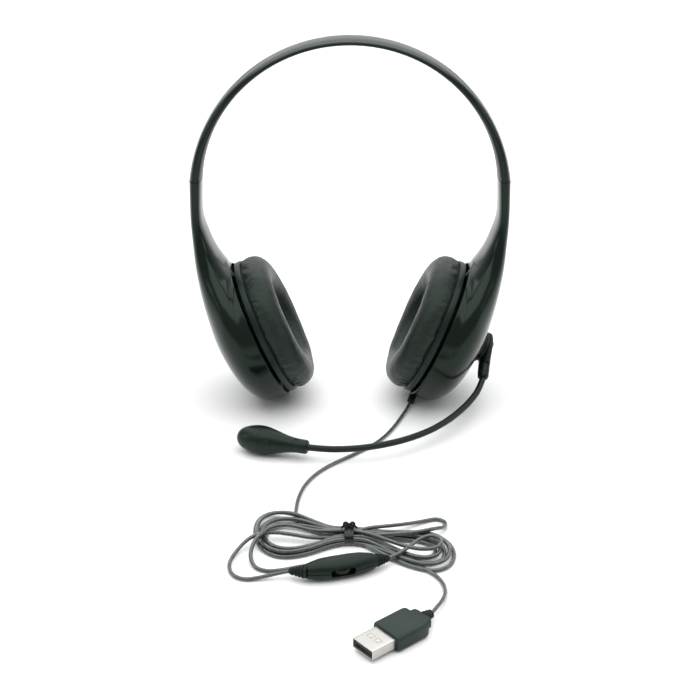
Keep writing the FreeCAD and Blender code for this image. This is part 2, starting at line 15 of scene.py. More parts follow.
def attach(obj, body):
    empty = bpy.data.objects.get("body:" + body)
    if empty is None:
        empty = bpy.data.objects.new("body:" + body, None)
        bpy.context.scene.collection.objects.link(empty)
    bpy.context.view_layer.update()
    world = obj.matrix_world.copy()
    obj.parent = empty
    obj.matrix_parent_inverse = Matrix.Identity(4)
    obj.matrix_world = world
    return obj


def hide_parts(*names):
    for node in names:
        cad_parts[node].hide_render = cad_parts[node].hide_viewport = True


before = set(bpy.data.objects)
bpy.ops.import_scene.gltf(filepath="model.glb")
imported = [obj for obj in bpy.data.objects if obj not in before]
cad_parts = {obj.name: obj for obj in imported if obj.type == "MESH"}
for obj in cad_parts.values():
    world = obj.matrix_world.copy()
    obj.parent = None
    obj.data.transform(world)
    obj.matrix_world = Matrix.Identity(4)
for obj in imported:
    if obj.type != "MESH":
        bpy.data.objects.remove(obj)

logging.basicConfig(level=logging.INFO, format="%(message)s")
log = logging.getLogger("headset")

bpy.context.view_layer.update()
MM = 0.001
Point = tuple[float, float, float]
Profile = Sequence[tuple[float, float]]

# where the headband's plane stands in the row frame (mm)
MID_X, MID_Y = 0.0, 20.1
TO_ROW = Matrix.Translation((MID_X * MM, MID_Y * MM, 0.0)) @ Matrix.Scale(MM, 4)
MIRROR = Matrix.Scale(-1.0, 4, (1.0, 0.0, 0.0))
WELD = 1e-4      # corners nearer than this are one (mm)


def fixed(*place: float) -> Any:
    """A dataclass field that starts as the given point."""
    return field(default_factory=lambda: Vector(place))


class Slot(Enum):
    """The record's material slots."""

    GLOSS_BLACK = "gloss_black"
    SATIN_BLACK = "satin_black"
    LEATHERETTE = "leatherette"
    SPEAKER_CLOTH = "speaker_cloth"
    GRILLE_PLASTIC = "grille_plastic"
    PLATED_STEEL = "plated_steel"
    CLEAR_FILM = "clear_film"
    SPRING_STEEL = "spring_steel"
    BOOM_JACKET = "boom_jacket"
    CORD_JACKET = "cord_jacket"
    TIE_PLASTIC = "tie_plastic"
    SOFT_RUBBER = "soft_rubber"
    CONTROL_PLASTIC = "control_plastic"
    WHEEL_PLASTIC = "wheel_plastic"
    CIRCUIT_BOARD = "circuit_board"
    PLUG_PLASTIC = "plug_plastic"
    NICKEL_PLATE = "nickel_plate"
    TONGUE_PLASTIC = "tongue_plastic"
    GOLD_CONTACT = "gold_contact"


class Side(Enum):
    """Which side of the head a piece is on."""

    LEFT = "left"
    RIGHT = "right"

    def __str__(self) -> str:
        """The side's name, as the nodes carry it."""
        return self.value


# ------------------------------------------------------------------ shader arithmetic
class Value:
    """A shader socket that takes part in plain arithmetic."""

    def __init__(self, bench: "Bench", socket: Any) -> None:
        """Keeps the socket and the bench that it is on."""
        self.bench, self.socket = bench, socket

    def _math(self, operation: str, *terms: Any) -> "Value":
        """Adds one Math node.

        Args:
            operation: Blender's name of the operation.
            terms: numbers or values, in the node's order.

        Returns:
            The node's result.
        """
        return self.bench.node("ShaderNodeMath", {"operation": operation}, dict(enumerate(terms)))

    def __add__(self, other: Any) -> "Value":
        """Adds."""
        return self._math("ADD", self, other)

    __radd__ = __add__

    def __mul__(self, other: Any) -> "Value":
        """Multiplies."""
        return self._math("MULTIPLY", self, other)

    __rmul__ = __mul__

    def __sub__(self, other: Any) -> "Value":
        """Subtracts a term."""
        return self._math("SUBTRACT", self, other)

    def __rsub__(self, other: Any) -> "Value":
        """Is subtracted from a term."""
        return self._math("SUBTRACT", other, self)


class Bench:
    """Where the nodes of one material are put together."""

    def __init__(self, name: str) -> None:
        """Starts an empty material with its shader and its output."""
        self.material = bpy.data.materials.new(name)
        self.material.use_nodes = True
        self.tree = self.material.node_tree
        self.tree.nodes.clear()
        self.shader = self.tree.nodes.new("ShaderNodeBsdfPrincipled")
        output = self.tree.nodes.new("ShaderNodeOutputMaterial")
        self.tree.links.new(self.shader.outputs[0], output.inputs[0])

    def node(self, kind: str, settings: dict[str, Any], inputs: dict[Any, Any], result: Any = 0) -> Value:
        """Adds any node.

        Args:
            kind: the node's type.
            settings: its properties, or the stops of a ramp, set before anything is linked.
            inputs: numbers, colours or values, by input name or place.
            result: which output to hand on.

        Returns:
            The chosen output.
        """
        made = self.tree.nodes.new(kind)
        for key, setting in settings.items():
            if key == "stops":
                ramp = made.color_ramp
                while len(ramp.elements) < len(setting):
                    ramp.elements.new(0.5)
                for element, (place, shade) in zip(ramp.elements, setting):
                    element.position, element.color = place, (shade, shade, shade, 1.0)
            else:
                setattr(made, key, setting)
        for key, term in inputs.items():
            if isinstance(term, Value):
                self.tree.links.new(term.socket, made.inputs[key])
            else:
                made.inputs[key].default_value = term
        return Value(self, made.outputs[result])

    def place(self, stretch: Point = (1.0, 1.0, 1.0), turn: Point = (0.0, 0.0, 0.0)) -> Value:
        """The point on the piece, stretched and turned for a pattern."""
        here = self.node("ShaderNodeTexCoord", {}, {}, "Object")
        return self.node("ShaderNodeMapping", {}, {"Vector": here, "Scale": stretch, "Rotation": turn})

    def clouds(self, scale: float, detail: float = 3.0, where: Value | None = None) -> Value:
        """Soft irregular patches, from 0 to 1."""
        return self.node("ShaderNodeTexNoise", {}, {"Vector": where or self.place(), "Scale": scale,
                                                    "Detail": detail, "Roughness": 0.55})

    def cells(self, scale: float, feature: str, where: Value | None = None) -> Value:
        """Distance within small cells, as in pebbled leather."""
        return self.node("ShaderNodeTexVoronoi", {"feature": feature},
                         {"Vector": where or self.place(), "Scale": scale}, "Distance")

    def levels(self, amount: Value, *stops: tuple[float, float]) -> Value:
        """Bends a value through the stops of a ramp."""
        return self.node("ShaderNodeValToRGB", {"stops": stops}, {"Fac": amount})

    def mix(self, amount: Any, first: Any, second: Any) -> Value:
        """Mixes two colours."""
        return self.node("ShaderNodeMix", {"data_type": "RGBA"}, {0: amount, 6: first, 7: second}, 2)

    def bump(self, height: Value, depth: float, strength: float = 1.0,
             under: Value | None = None) -> Value:
        """A relief of the given depth in metres."""
        inputs: dict[str, Any] = {"Height": height, "Distance": depth, "Strength": strength}
        if under:
            inputs["Normal"] = under
        return self.node("ShaderNodeBump", {}, inputs)

    def finish(self, **inputs: Any) -> bpy.types.Material:
        """Feeds the shader.

        Args:
            inputs: shader inputs, with underscores for the spaces in their names.

        Returns:
            The material.
        """
        for name, term in inputs.items():
            socket = self.shader.inputs[name.replace("_", " ")]
            if isinstance(term, Value):
                self.tree.links.new(term.socket, socket)
            else:
                socket.default_value = term
        return self.material


def shade(red: float, green: float, blue: float) -> tuple[float, float, float, float]:
    """An opaque colour."""
    return red, green, blue, 1.0


# ------------------------------------------------------------------ finishes
@dataclass(frozen=True)
class MouldedPlastic:
    """Moulded plastic: flow patches, fine scuffs and a light grain."""

    colour: Point
    roughness: float = 0.3
    coat: float = 0.0
    grain: float = 900.0
    grain_depth: float = 0.00002
    patchiness: float = 0.35
    scuffs: float = 0.08
    ior: float = 1.35
    tint: Point = (0.77, 1.0, 0.85)

    def material(self, name: str) -> bpy.types.Material:
        """Makes the material."""
        bench = Bench(name)
        flow = bench.clouds(26.0, 4.0)
        fine = bench.clouds(self.grain, 2.0)
        streaks = bench.clouds(420.0, 5.0, bench.place((1.0, 0.12, 0.35), (0.3, 0.5, 0.2)))
        wear = bench.levels(streaks, (0.56, 0.0), (0.72, 1.0))
        dust = bench.levels(bench.clouds(2600.0, 1.0), (0.68, 0.0), (0.74, 1.0))
        light = shade(*(min(1.0, part * (1.0 + self.patchiness) + 0.001) for part in self.colour))
        dark = shade(*(part * (1.0 - self.patchiness) for part in self.colour))
        pale = shade(*(part * 1.3 + 0.012 for part in self.colour))
        colour = bench.mix(dust * 0.12 + wear * self.scuffs, bench.mix(flow, dark, light), pale)
        rough = flow * 0.06 + wear * self.scuffs + dust * 0.05 + (self.roughness - 0.03)
        relief = bench.bump(fine, self.grain_depth, 0.6, bench.bump(flow, 0.0003, 0.12))
        return bench.finish(Base_Color=colour, Roughness=rough, Normal=relief, Coat_Weight=self.coat,
                            Coat_Roughness=0.06, IOR=self.ior, Specular_Tint=shade(*self.tint))


@dataclass(frozen=True)
class Leatherette:
    """Thin coated fabric over foam: pebble grain, creases and rubbed high spots that are smoother; the
    pebble tops are painted lighter and the gaps between them darker, as painted shade.
    """

    colour: Point = (0.0058, 0.0090, 0.0076)
    pebble: float = 1500.0

    def material(self, name: str) -> bpy.types.Material:
        """Makes the material."""
        bench = Bench(name)
        warp = bench.clouds(240.0, 3.0)
        pebbles = bench.cells(self.pebble, "SMOOTH_F1")
        # the grain's valleys, used for the relief, the roughness and the painted shade in the colour
        # below
        gaps = bench.levels(bench.cells(self.pebble * 0.8, "DISTANCE_TO_EDGE"), (0.0, 0.0), (0.16, 1.0))
        creases = bench.levels(bench.clouds(130.0, 6.0, bench.place((1.0, 2.2, 0.8))), (0.44, 0.0),
                               (0.5, 1.0),
                               (0.56, 0.0))
        patches = bench.clouds(38.0, 4.0)
        # painted shade: the gaps between the pebbles are painted darker and the pebble tops lighter, over
        # random patches of tone
        light = shade(*(part * 1.6 + 0.002 for part in self.colour))
        colour = bench.mix(patches * 0.7 + gaps * 0.3, shade(*(part * 0.6 for part in self.colour)),
                           light)
        rough = 0.36 + patches * 0.12 + (1.0 - gaps) * 0.1 - creases * 0.08
        relief = bench.bump(gaps - pebbles * 0.6, 0.00005, 0.5,
                            bench.bump(warp - creases * 0.35, 0.0004, 0.22))
        return bench.finish(Base_Color=colour, Roughness=rough, Normal=relief, Sheen_Weight=0.05,
                            Sheen_Roughness=0.4, IOR=1.38, Specular_Tint=shade(0.80, 1.0, 0.88))


@dataclass(frozen=True)
class SpeakerCloth:
    """A dark plain weave stretched over the speaker."""

    colour: Point = (0.0045, 0.0060, 0.0058)
    threads: float = 5200.0

    def material(self, name: str) -> bpy.types.Material:
        """Makes the material."""
        bench = Bench(name)
        here = bench.place(turn=(0.0, math.radians(-23.4), 0.0))
        split = bench.node("ShaderNodeSeparateXYZ", {}, {"Vector": here}, "Y")
        rise = bench.node("ShaderNodeSeparateXYZ", {}, {"Vector": here}, "Z")
        warp = bench.node("ShaderNodeMath", {"operation": "SINE"}, {0: split * self.threads})
        weft = bench.node("ShaderNodeMath", {"operation": "SINE"}, {0: rise * self.threads})
        weave = warp * weft * 0.5 + 0.5
        fuzz = bench.clouds(900.0, 4.0)
        colour = bench.mix(weave * 0.6 + fuzz * 0.4, shade(*(part * 0.4 for part in self.colour)),
                           shade(*(part * 2.6 for part in self.colour)))
        return bench.finish(Base_Color=colour, Roughness=0.86 + fuzz * 0.1,
                            Normal=bench.bump(weave + fuzz * 0.4, 0.00012, 0.7), Sheen_Weight=0.05)


@dataclass(frozen=True)
class CordJacket:
    """Soft grey vinyl over twisted cores, which show faintly through it."""

    colour: Point = (0.030, 0.038, 0.036)
    roughness: float = 0.24

    def material(self, name: str) -> bpy.types.Material:
        """Makes the material."""
        bench = Bench(name)
        patches = bench.clouds(60.0, 4.0)
        lumps = bench.clouds(520.0, 2.0)
        grime = bench.levels(bench.clouds(210.0, 5.0), (0.5, 0.0), (0.75, 1.0))
        colour = bench.mix(patches, shade(*(part * 0.65 for part in self.colour)),
                           shade(*(part * 1.7 + 0.01 for part in self.colour)))
        colour = bench.mix(grime * 0.3, colour, shade(*(part * 0.4 for part in self.colour)))
        return bench.finish(Base_Color=colour, Roughness=self.roughness + grime * 0.14 + lumps * 0.06,
                            Normal=bench.bump(lumps, 0.0001, 0.3), Coat_Weight=0.9, Coat_Roughness=0.08)


@dataclass(frozen=True)
class Metal:
    """Rolled or plated metal: rolling lines, smudges and small marks."""

    colour: Point
    roughness: float = 0.24
    brushed: Point = (1.0, 0.1, 1.0)

    def material(self, name: str) -> bpy.types.Material:
        """Makes the material."""
        bench = Bench(name)
        lines = bench.clouds(1500.0, 3.0, bench.place(self.brushed))
        smudge = bench.clouds(140.0, 5.0)
        marks = bench.levels(bench.clouds(700.0, 2.0), (0.62, 0.0), (0.7, 1.0))
        colour = bench.mix(smudge * 0.7 + marks * 0.3, shade(*self.colour),
                           shade(*(part * 0.72 for part in self.colour)))
        rough = lines * 0.08 + smudge * 0.12 + marks * 0.12 + (self.roughness - 0.08)
        return bench.finish(Base_Color=colour, Metallic=1.0, Roughness=rough,
                            Normal=bench.bump(lines + marks * 0.4, 0.00003, 0.4))


@dataclass(frozen=True)
class BoardLaminate:
    """A small circuit board with traces under its mask."""

    colour: Point = (0.012, 0.09, 0.035)

    def material(self, name: str) -> bpy.types.Material:
        """Makes the material."""
        bench = Bench(name)
        traces = bench.levels(bench.cells(420.0, "DISTANCE_TO_EDGE"), (0.04, 1.0), (0.09, 0.0))
        mottle = bench.clouds(90.0)
        colour = bench.mix(traces * 0.6 + mottle * 0.2, shade(*self.colour), shade(0.05, 0.22, 0.09))
        return bench.finish(Base_Color=colour, Roughness=0.35 + mottle * 0.15,
                            Normal=bench.bump(traces, 0.00004, 0.5))


class Paintbox:
    """One material for each slot."""

    FINISHES: dict[Slot, Any] = {
        Slot.GLOSS_BLACK: MouldedPlastic((0.0028, 0.0052, 0.0040), 0.19, grain_depth=0.000004,
                                         scuffs=0.04),
        Slot.SATIN_BLACK: MouldedPlastic((0.0048, 0.0080, 0.0066), 0.36),
        Slot.LEATHERETTE: Leatherette(),
        Slot.SPEAKER_CLOTH: SpeakerCloth(),
        Slot.GRILLE_PLASTIC: MouldedPlastic((0.012, 0.013, 0.013), 0.5),
        Slot.PLATED_STEEL: Metal((0.62, 0.62, 0.60), 0.3),
        Slot.CLEAR_FILM: MouldedPlastic((0.30, 0.31, 0.30), 0.2, 0.4),
        Slot.SPRING_STEEL: Metal((0.50, 0.50, 0.49), 0.32, (1.0, 1.0, 0.1)),
        Slot.BOOM_JACKET: MouldedPlastic((0.0070, 0.0092, 0.0090), 0.4, grain=1600.0,
                                         grain_depth=0.00004),
        Slot.CORD_JACKET: CordJacket(),
        Slot.TIE_PLASTIC: MouldedPlastic((0.006, 0.008, 0.0075), 0.28, 0.2),
        Slot.SOFT_RUBBER: MouldedPlastic((0.0050, 0.0072, 0.0064), 0.55, grain_depth=0.00004),
        Slot.CONTROL_PLASTIC: MouldedPlastic((0.0034, 0.0062, 0.0050), 0.42, grain=1500.0,
                                             grain_depth=0.00004),
        Slot.WHEEL_PLASTIC: MouldedPlastic((0.006, 0.009, 0.008), 0.34),
        Slot.CIRCUIT_BOARD: BoardLaminate(),
        Slot.PLUG_PLASTIC: MouldedPlastic((0.019, 0.027, 0.025), 0.46, grain=1400.0, grain_depth=0.00004),
        Slot.NICKEL_PLATE: Metal((0.54, 0.525, 0.50), 0.34),
        Slot.TONGUE_PLASTIC: MouldedPlastic((0.014, 0.014, 0.013), 0.45),
        Slot.GOLD_CONTACT: Metal((0.83, 0.62, 0.28), 0.22),
    }

    def __init__(self) -> None:
        """Makes every material once."""
        self.materials = {slot: finish.material(slot.value) for slot, finish in self.FINISHES.items()}

    def __getitem__(self, slot: Slot) -> bpy.types.Material:
        """The material of a slot."""
        return self.materials[slot]


# ------------------------------------------------------------------ shapes, all in mm
def loft(rings: Sequence[Sequence[Vector]], ends: tuple[bool, bool] = (True, True)) -> BMesh:
    """Draws a skin through rings of equal count.

    Args:
        rings: the rings, in order.
        ends: whether the first and the last ring are closed with a face.

    Returns:
        The skin, its faces outwards.
    """
    bm = bmesh.new()
    loop = bmesh.ops.create_circle(bm, cap_ends=False, segments=len(rings[0]), radius=1.0)["verts"]
    for vert, place in zip(loop, rings[0]):
        vert.co = place
    edges = list(bm.edges)
    first = list(edges)
    for ring in rings[1:]:
        made = bmesh.ops.extrude_edge_only(bm, edges=edges)["geom"]
        fresh = {item for item in made if isinstance(item, BMVert)}
        loop = [next(edge.other_vert(vert) for edge in vert.link_edges if edge.other_vert(vert) in fresh)
                for vert in loop]
        for vert, place in zip(loop, ring):
            vert.co = place
        edges = [edge for edge in bm.edges if edge.verts[0] in fresh and edge.verts[1] in fresh]
    for wanted, rim in zip(ends, (first, edges)):
        if wanted:
            bmesh.ops.edgeloop_fill(bm, edges=rim)
    bmesh.ops.recalc_face_normals(bm, faces=bm.faces)
    return bm


def superellipse(half_a: float, half_b: float, squareness: float,
                 count: int) -> list[tuple[float, float]]:
    """A rounded outline.

    Args:
        half_a: half its size along its first axis.
        half_b: half its size along its second axis.
        squareness: 2 for an ellipse, more for a squarer outline.
        count: the number of points.

    Returns:
        Points round the outline.
    """
    power = 2.0 / squareness
    points = []
    for step in range(count):
        angle = math.tau * step / count
        cosine, sine = math.cos(angle), math.sin(angle)
        points.append((half_a * math.copysign(abs(cosine) ** power, cosine),
                       half_b * math.copysign(abs(sine) ** power, sine)))
    return points


def rounded(bm: BMesh, radius: float, angle: float = 32.0, segments: int = 2) -> BMesh:
    """Rounds every edge that is sharper than an angle."""
    limit = math.radians(angle)
    sharp = [edge for edge in bm.edges if edge.is_manifold and edge.calc_face_angle(0.0) > limit]
    bmesh.ops.bevel(bm, geom=sharp, offset=radius, offset_type="OFFSET", segments=segments, profile=0.5,
                    affect="EDGES", clamp_overlap=True, material=-1)
    return bm


def turned(profile: Profile, steps: int = 72, corner: float = 0.25) -> BMesh:
    """A turned shape about Z.

    Args:
        profile: (radius, height) corners.
        steps: how many steps make the full turn.
        corner: the radius of its rounded corners.

    Returns:
        The solid, its faces outwards.
    """
    bm = bmesh.new()
    verts = [bm.verts.new((radius, 0.0, height)) for radius, height in profile]
    pairs = [*zip(verts, verts[1:]), (verts[-1], verts[0])]
    edges = [bm.edges.new(pair) for pair in pairs if pair[0].co.x + pair[1].co.x > 1e-6]
    bmesh.ops.spin(bm, geom=verts + edges, cent=(0, 0, 0), axis=(0, 0, 1), angle=math.tau, steps=steps,
                   use_merge=True)
    bmesh.ops.remove_doubles(bm, verts=bm.verts, dist=WELD)
    loose = [edge for edge in bm.edges if not edge.link_faces]
    bmesh.ops.delete(bm, geom=loose, context="EDGES")
    bmesh.ops.recalc_face_normals(bm, faces=bm.faces)
    return rounded(bm, corner) if corner else bm


def block(low: Point, high: Point, corner: float = 0.3, segments: int = 2) -> BMesh:
    """A box between two corners, with rounded edges."""
    bm = bmesh.new()
    middle = (Vector(low) + Vector(high)) / 2
    size = Vector(high) - Vector(low)
    bmesh.ops.create_cube(bm, size=1.0, matrix=Matrix.Translation(middle) @ Matrix.Diagonal((*size, 1.0)))
    return rounded(bm, corner, segments=segments) if corner else bm


def merged(parts: Iterable[BMesh]) -> BMesh:
    """Several shapes in one mesh."""
    whole = bmesh.new()
    for part in parts:
        carrier = as_mesh("carrier", part)
        whole.from_mesh(carrier)
        bpy.data.meshes.remove(carrier)
    return whole


def as_mesh(name: str, bm: BMesh) -> bpy.types.Mesh:
    """The shape as a mesh; the shape itself is let go."""
    mesh = bpy.data.meshes.new(name)
    bm.to_mesh(mesh)
    bm.free()
    return mesh


def standing(name: str, content: Any) -> bpy.types.Object:
    """A new object in the scene, around a mesh, a curve, a light or a camera."""
    made = bpy.data.objects.new(name, content)
    bpy.context.scene.collection.objects.link(made)
    return made


def applied(body: bpy.types.Object) -> bpy.types.Mesh:
    """The object's mesh with its modifiers applied."""
    graph = bpy.context.evaluated_depsgraph_get()
    graph.update()
    return bpy.data.meshes.new_from_object(body.evaluated_get(graph))


def pierced(body: bpy.types.Object, tool: BMesh) -> bpy.types.Mesh:
    """The object's mesh with the tool's shape cut out of it; the tool is let go."""
    cutter = standing("cutter", as_mesh("cutter", tool))
    cut = body.modifiers.new("cut", "BOOLEAN")
    cut.operation, cut.object, cut.solver = "DIFFERENCE", cutter, "EXACT"
    opened = applied(body)
    body.modifiers.clear()
    bpy.data.objects.remove(cutter)
    return opened


def axes_matrix(x_axis: Vector, y_axis: Vector, z_axis: Vector, origin: Vector) -> Matrix:
    """A matrix that carries a shape from its own axes to the given ones."""
    turn = Matrix((x_axis, y_axis, z_axis)).transposed().to_4x4()
    return Matrix.Translation(origin) @ turn


def line_axes(start: Vector, end: Vector) -> Matrix:
    """Axes with X from start to end and Y level."""
    x_axis = (end - start).normalized()
    y_axis = Vector((0, 0, 1)).cross(x_axis).normalized()
    return axes_matrix(x_axis, y_axis, x_axis.cross(y_axis), start)


def turned_on_line(start: Vector, end: Vector, profile: Profile, corner: float = 0.2,
                   steps: int = 40) -> BMesh:
    """A turned shape on a line, from (distance, radius) corners."""
    bm = turned([(radius, distance) for distance, radius in profile], steps, corner)
    to_line = line_axes(start, end) @ Matrix.Rotation(math.radians(90), 4, "Y")
    bm.transform(to_line)
    return bm


def nurbs(name: str, points: Sequence[Point], diameter: float) -> bpy.types.Object:
    """A smooth round cord through space.

    Args:
        name: the piece's name.
        points: its control points in mm.
        diameter: its diameter in mm.

    Returns:
        The curve object.
    """
    curve = bpy.data.curves.new(name, "CURVE")
    curve.dimensions = "3D"
    curve.bevel_depth = diameter * MM / 2
    curve.bevel_resolution = 4
    curve.use_fill_caps = True
    curve.resolution_u = 6
    spline = curve.splines.new("NURBS")
    spline.points.add(len(points) - 1)
    for spot, place in zip(spline.points, points):
        spot.co = (*(TO_ROW @ Vector(place)), 1.0)
    spline.order_u = 3
    spline.use_endpoint_u = True
    return standing(name, curve)


@dataclass
class Workshop:
    """Takes finished shapes and hands them to the frame."""

    paints: Paintbox = field(default_factory=Paintbox)
    count: int = 0

    def add(self, name: str, bm: BMesh, body: str, slot: Slot, stands_for: Sequence[str] = (),
            smooth: float = 38.0, carry: Matrix | None = None) -> bpy.types.Object:
        """Turns a shape in mm into a piece of the headset.

        Args:
            name: the piece's name.
            bm: its shape, about the band's plane.
            body: the body that it rides on.
            slot: its material slot.
            stands_for: the frame nodes that it replaces.
            smooth: edges sharper than this angle stay crisp.
            carry: where to carry the shape first.

        Returns:
            The piece.
        """
        if carry is not None:
            bm.transform(carry)
            if carry.determinant() < 0:
                bmesh.ops.reverse_faces(bm, faces=bm.faces)
        bm.transform(TO_ROW)
        mesh = as_mesh(name, bm)
        mesh.shade_smooth()
        mesh.set_sharp_from_angle(angle=math.radians(smooth))
        return self.dress(standing(name, mesh), body, slot, stands_for)

    def dress(self, piece: bpy.types.Object, body: str, slot: Slot,
              stands_for: Sequence[str] = ()) -> bpy.types.Object:
        """Gives a piece its finish, its body and the nodes that it replaces."""
        piece.data.materials.append(self.paints[slot])
        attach(piece, body)
        if stands_for:
            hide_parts(*stands_for)
        self.count += 1
        log.info("made %s, riding on %s", piece.name, body)
        return piece

    def dress_nodes(self, slots: dict[str, Slot]) -> None:
        """Gives the frame's own nodes their finishes."""
        for name, slot in slots.items():
            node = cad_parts[name]
            for socket in node.material_slots:
                socket.link = "OBJECT"
                socket.material = self.paints[slot]
            log.info("dressed %s in %s", name, slot.value)


# ------------------------------------------------------------------ headband
@dataclass
class Headband:
    """The gloss arch between the two sliders."""

    outer_radius: float = 81.8
    outer_centre: float = 111.3
    inner_radius: float = 75.0
    inner_centre: float = 115.0
    liner_thick: float = 1.1
    seam_z: float = 122.35
    end_width: float = 9.6
    top_width: float = 8.6
    squareness: float = 2.6
    rings: int = 72
    points: int = 40

    def arc(self, radius: float, centre: float, share: float) -> Vector:
        """A point on an arc, from the left seam (0) over the top to the right one (1)."""
        start = math.asin((self.seam_z - centre) / radius)
        angle = math.pi - start - share * (math.pi - 2 * start)
        return Vector((radius * math.cos(angle), 0.0, centre + radius * math.sin(angle)))

    def ring(self, share: float, low: float, high: float) -> list[Vector]:
        """A section of the arch.

        Args:
            share: how far along the arch.
            low: the inner bound through its thickness, from 0 to 1.
            high: the outer bound.

        Returns:
            The section's points.
        """
        inner = self.arc(self.inner_radius, self.inner_centre, share)
        outer = self.arc(self.outer_radius, self.outer_centre, share)
        middle, reach = (inner + outer) / 2, (outer - inner) / 2
        width = self.end_width + (self.top_width - self.end_width) * math.sin(math.pi * share)
        ring = []
        for along, across in superellipse(1.0, width, self.squareness, self.points):
            along = min(max(along, low * 2 - 1), high * 2 - 1)
            ring.append(middle + reach * along + Vector((0, across, 0)))
        return ring

    def build(self, shop: Workshop) -> None:
        """Makes the outer arch; its liner, spring and sliders are the frame's own."""
        rings = []
        for index in range(self.rings):
            share = index / (self.rings - 1)
            thick = (self.arc(self.outer_radius, self.outer_centre, share)
                     - self.arc(self.inner_radius, self.inner_centre, share)).length
            rings.append(self.ring(share, self.liner_thick / thick, 1.0))
        shop.add("headband_arch", loft(rings), "headband", Slot.GLOSS_BLACK, ["band_outer"], smooth=50)


# ------------------------------------------------------------------ earpieces
@dataclass
class Cup:
    """The axes and the sizes of an ear cup, about the band's plane."""

    centre_x: float = -42.5
    centre_z: float = 40.9
    tilt: float = 23.4
    yaw: float = 5.0

    def axes(self) -> Matrix:
        """Carries a shape from the cup's axes, Z towards the head, to the left cup."""
        tilt, yaw = math.radians(self.tilt), math.radians(self.yaw)
        inward = Vector((math.cos(tilt) * math.cos(yaw), math.cos(tilt) * math.sin(yaw), math.sin(tilt)))
        up = Vector((-math.sin(tilt) * math.cos(yaw), -math.sin(tilt) * math.sin(yaw), math.cos(tilt)))
        return axes_matrix(up, inward.cross(up), inward, Vector((self.centre_x, 0, self.centre_z)))

    def on(self, side: Side) -> Matrix:
        """The cup's axes on either side."""
        return self.axes() if side is Side.LEFT else MIRROR @ self.axes()


@dataclass
class ArmShell:
    """The one-piece arm that swells into the cup's shell."""

    cup: Cup = field(default_factory=Cup)
    sections: tuple[tuple[float, ...], ...] = (
        (-74.7, 122.05, -81.1, 122.05, 9.6, 2.8),
        (-75.3, 103.0, -81.4, 103.0, 10.4, 2.8),
        (-72.6, 91.5, -80.7, 88.0, 12.6, 2.8),
        (-69.0, 82.8, -79.4, 72.5, 17.6, 2.6),
        (-65.6, 77.2, -75.5, 52.0, 26.0, 2.3),
        (-63.7, 75.0, -68.8, 30.0, 33.6, 2.1),
        (-62.95, 74.2, -57.2, 9.3, 37.4, 2.0),
        (-62.7, 73.9, -44.4, 0.5, 38.1, 2.0),
    )
    rim_radius: float = 38.0
    rim_axial: float = -5.4
    inside: tuple[tuple[float, float], ...] = ((37.85, -5.22), (37.5, -5.2), (37.35, -5.5), (37.3, -9.0),
                                               (36.0, -9.4), (35.4, -10.0), (35.0, -12.4), (32.2, -17.0),
                                               (28.6, -20.2), (23.6, -22.8), (10.0, -24.9))
    between: int = 6
    points: int = 64

    def circle_row(self, radius: float, axial: float) -> tuple[float, ...]:
        """A round section about the cup's axis."""
        tilt = math.radians(self.cup.tilt)
        up, inward = Vector((-math.sin(tilt), math.cos(tilt))), Vector((math.cos(tilt), math.sin(tilt)))
        centre = Vector((self.cup.centre_x, self.cup.centre_z)) + inward * axial
        return (*(centre + up * radius), *(centre - up * radius), radius, 2.0)

    def ring(self, row: Sequence[float], place: float) -> list[Vector]:
        """A section's points.

        Args:
            row: its inner edge, outer edge, half width and squareness.
            place: its place down the arm, which turns it towards the cup.

        Returns:
            The points.
        """
        inner, outer = Vector((row[0], 0, row[1])), Vector((row[2], 0, row[3]))
        middle, reach = (inner + outer) / 2, (outer - inner) / 2
        turn = math.radians(self.cup.yaw * min(1.0, max(0.0, (place - 2) / 4)))
        pivot = Vector((self.cup.centre_x, 0, 0))
        spin = Matrix.Rotation(turn, 3, "Z")
        return [pivot + spin @ (middle + reach * along + Vector((0, across, 0)) - pivot)
                for along, across in superellipse(1.0, row[4], row[5], self.points)]

    def rings(self) -> list[list[Vector]]:
        """Every section, from the seam to the bottom of the hollow."""
        rows = [*self.sections, self.circle_row(self.rim_radius, self.rim_axial)]
        made = []
        for index in range(len(rows) - 1):
            before, here = rows[max(index - 1, 0)], rows[index]
            ahead, beyond = rows[index + 1], rows[min(index + 2, len(rows) - 1)]
            for step in range(self.between):
                share = step / self.between
                row = [self.glide(*parts, share) for parts in zip(before, here, ahead, beyond)]
                made.append(self.ring(row, index + share))
        made.append(self.ring(rows[-1], 8))
        made.extend(self.ring(self.circle_row(radius, axial), 8) for radius, axial in self.inside)
        return made

    @staticmethod
    def glide(before: float, here: float, ahead: float, beyond: float, share: float) -> float:
        """A smooth passage from one section's size to the next."""
        slope_in, slope_out = (ahead - before) / 2, (beyond - here) / 2
        square, cube = share * share, share ** 3
        return (here * (2 * cube - 3 * square + 1) + slope_in * (cube - 2 * square + share)
                + ahead * (3 * square - 2 * cube) + slope_out * (cube - square))

    def build(self, shop: Workshop) -> None:
        """Makes both arms."""
        for side in Side:
            shop.add(f"{side}_arm_and_shell", loft(self.rings()), f"{side}_earpiece", Slot.GLOSS_BLACK,
                     [f"{side}_arm_shell"], smooth=50, carry=None if side is Side.LEFT else MIRROR)


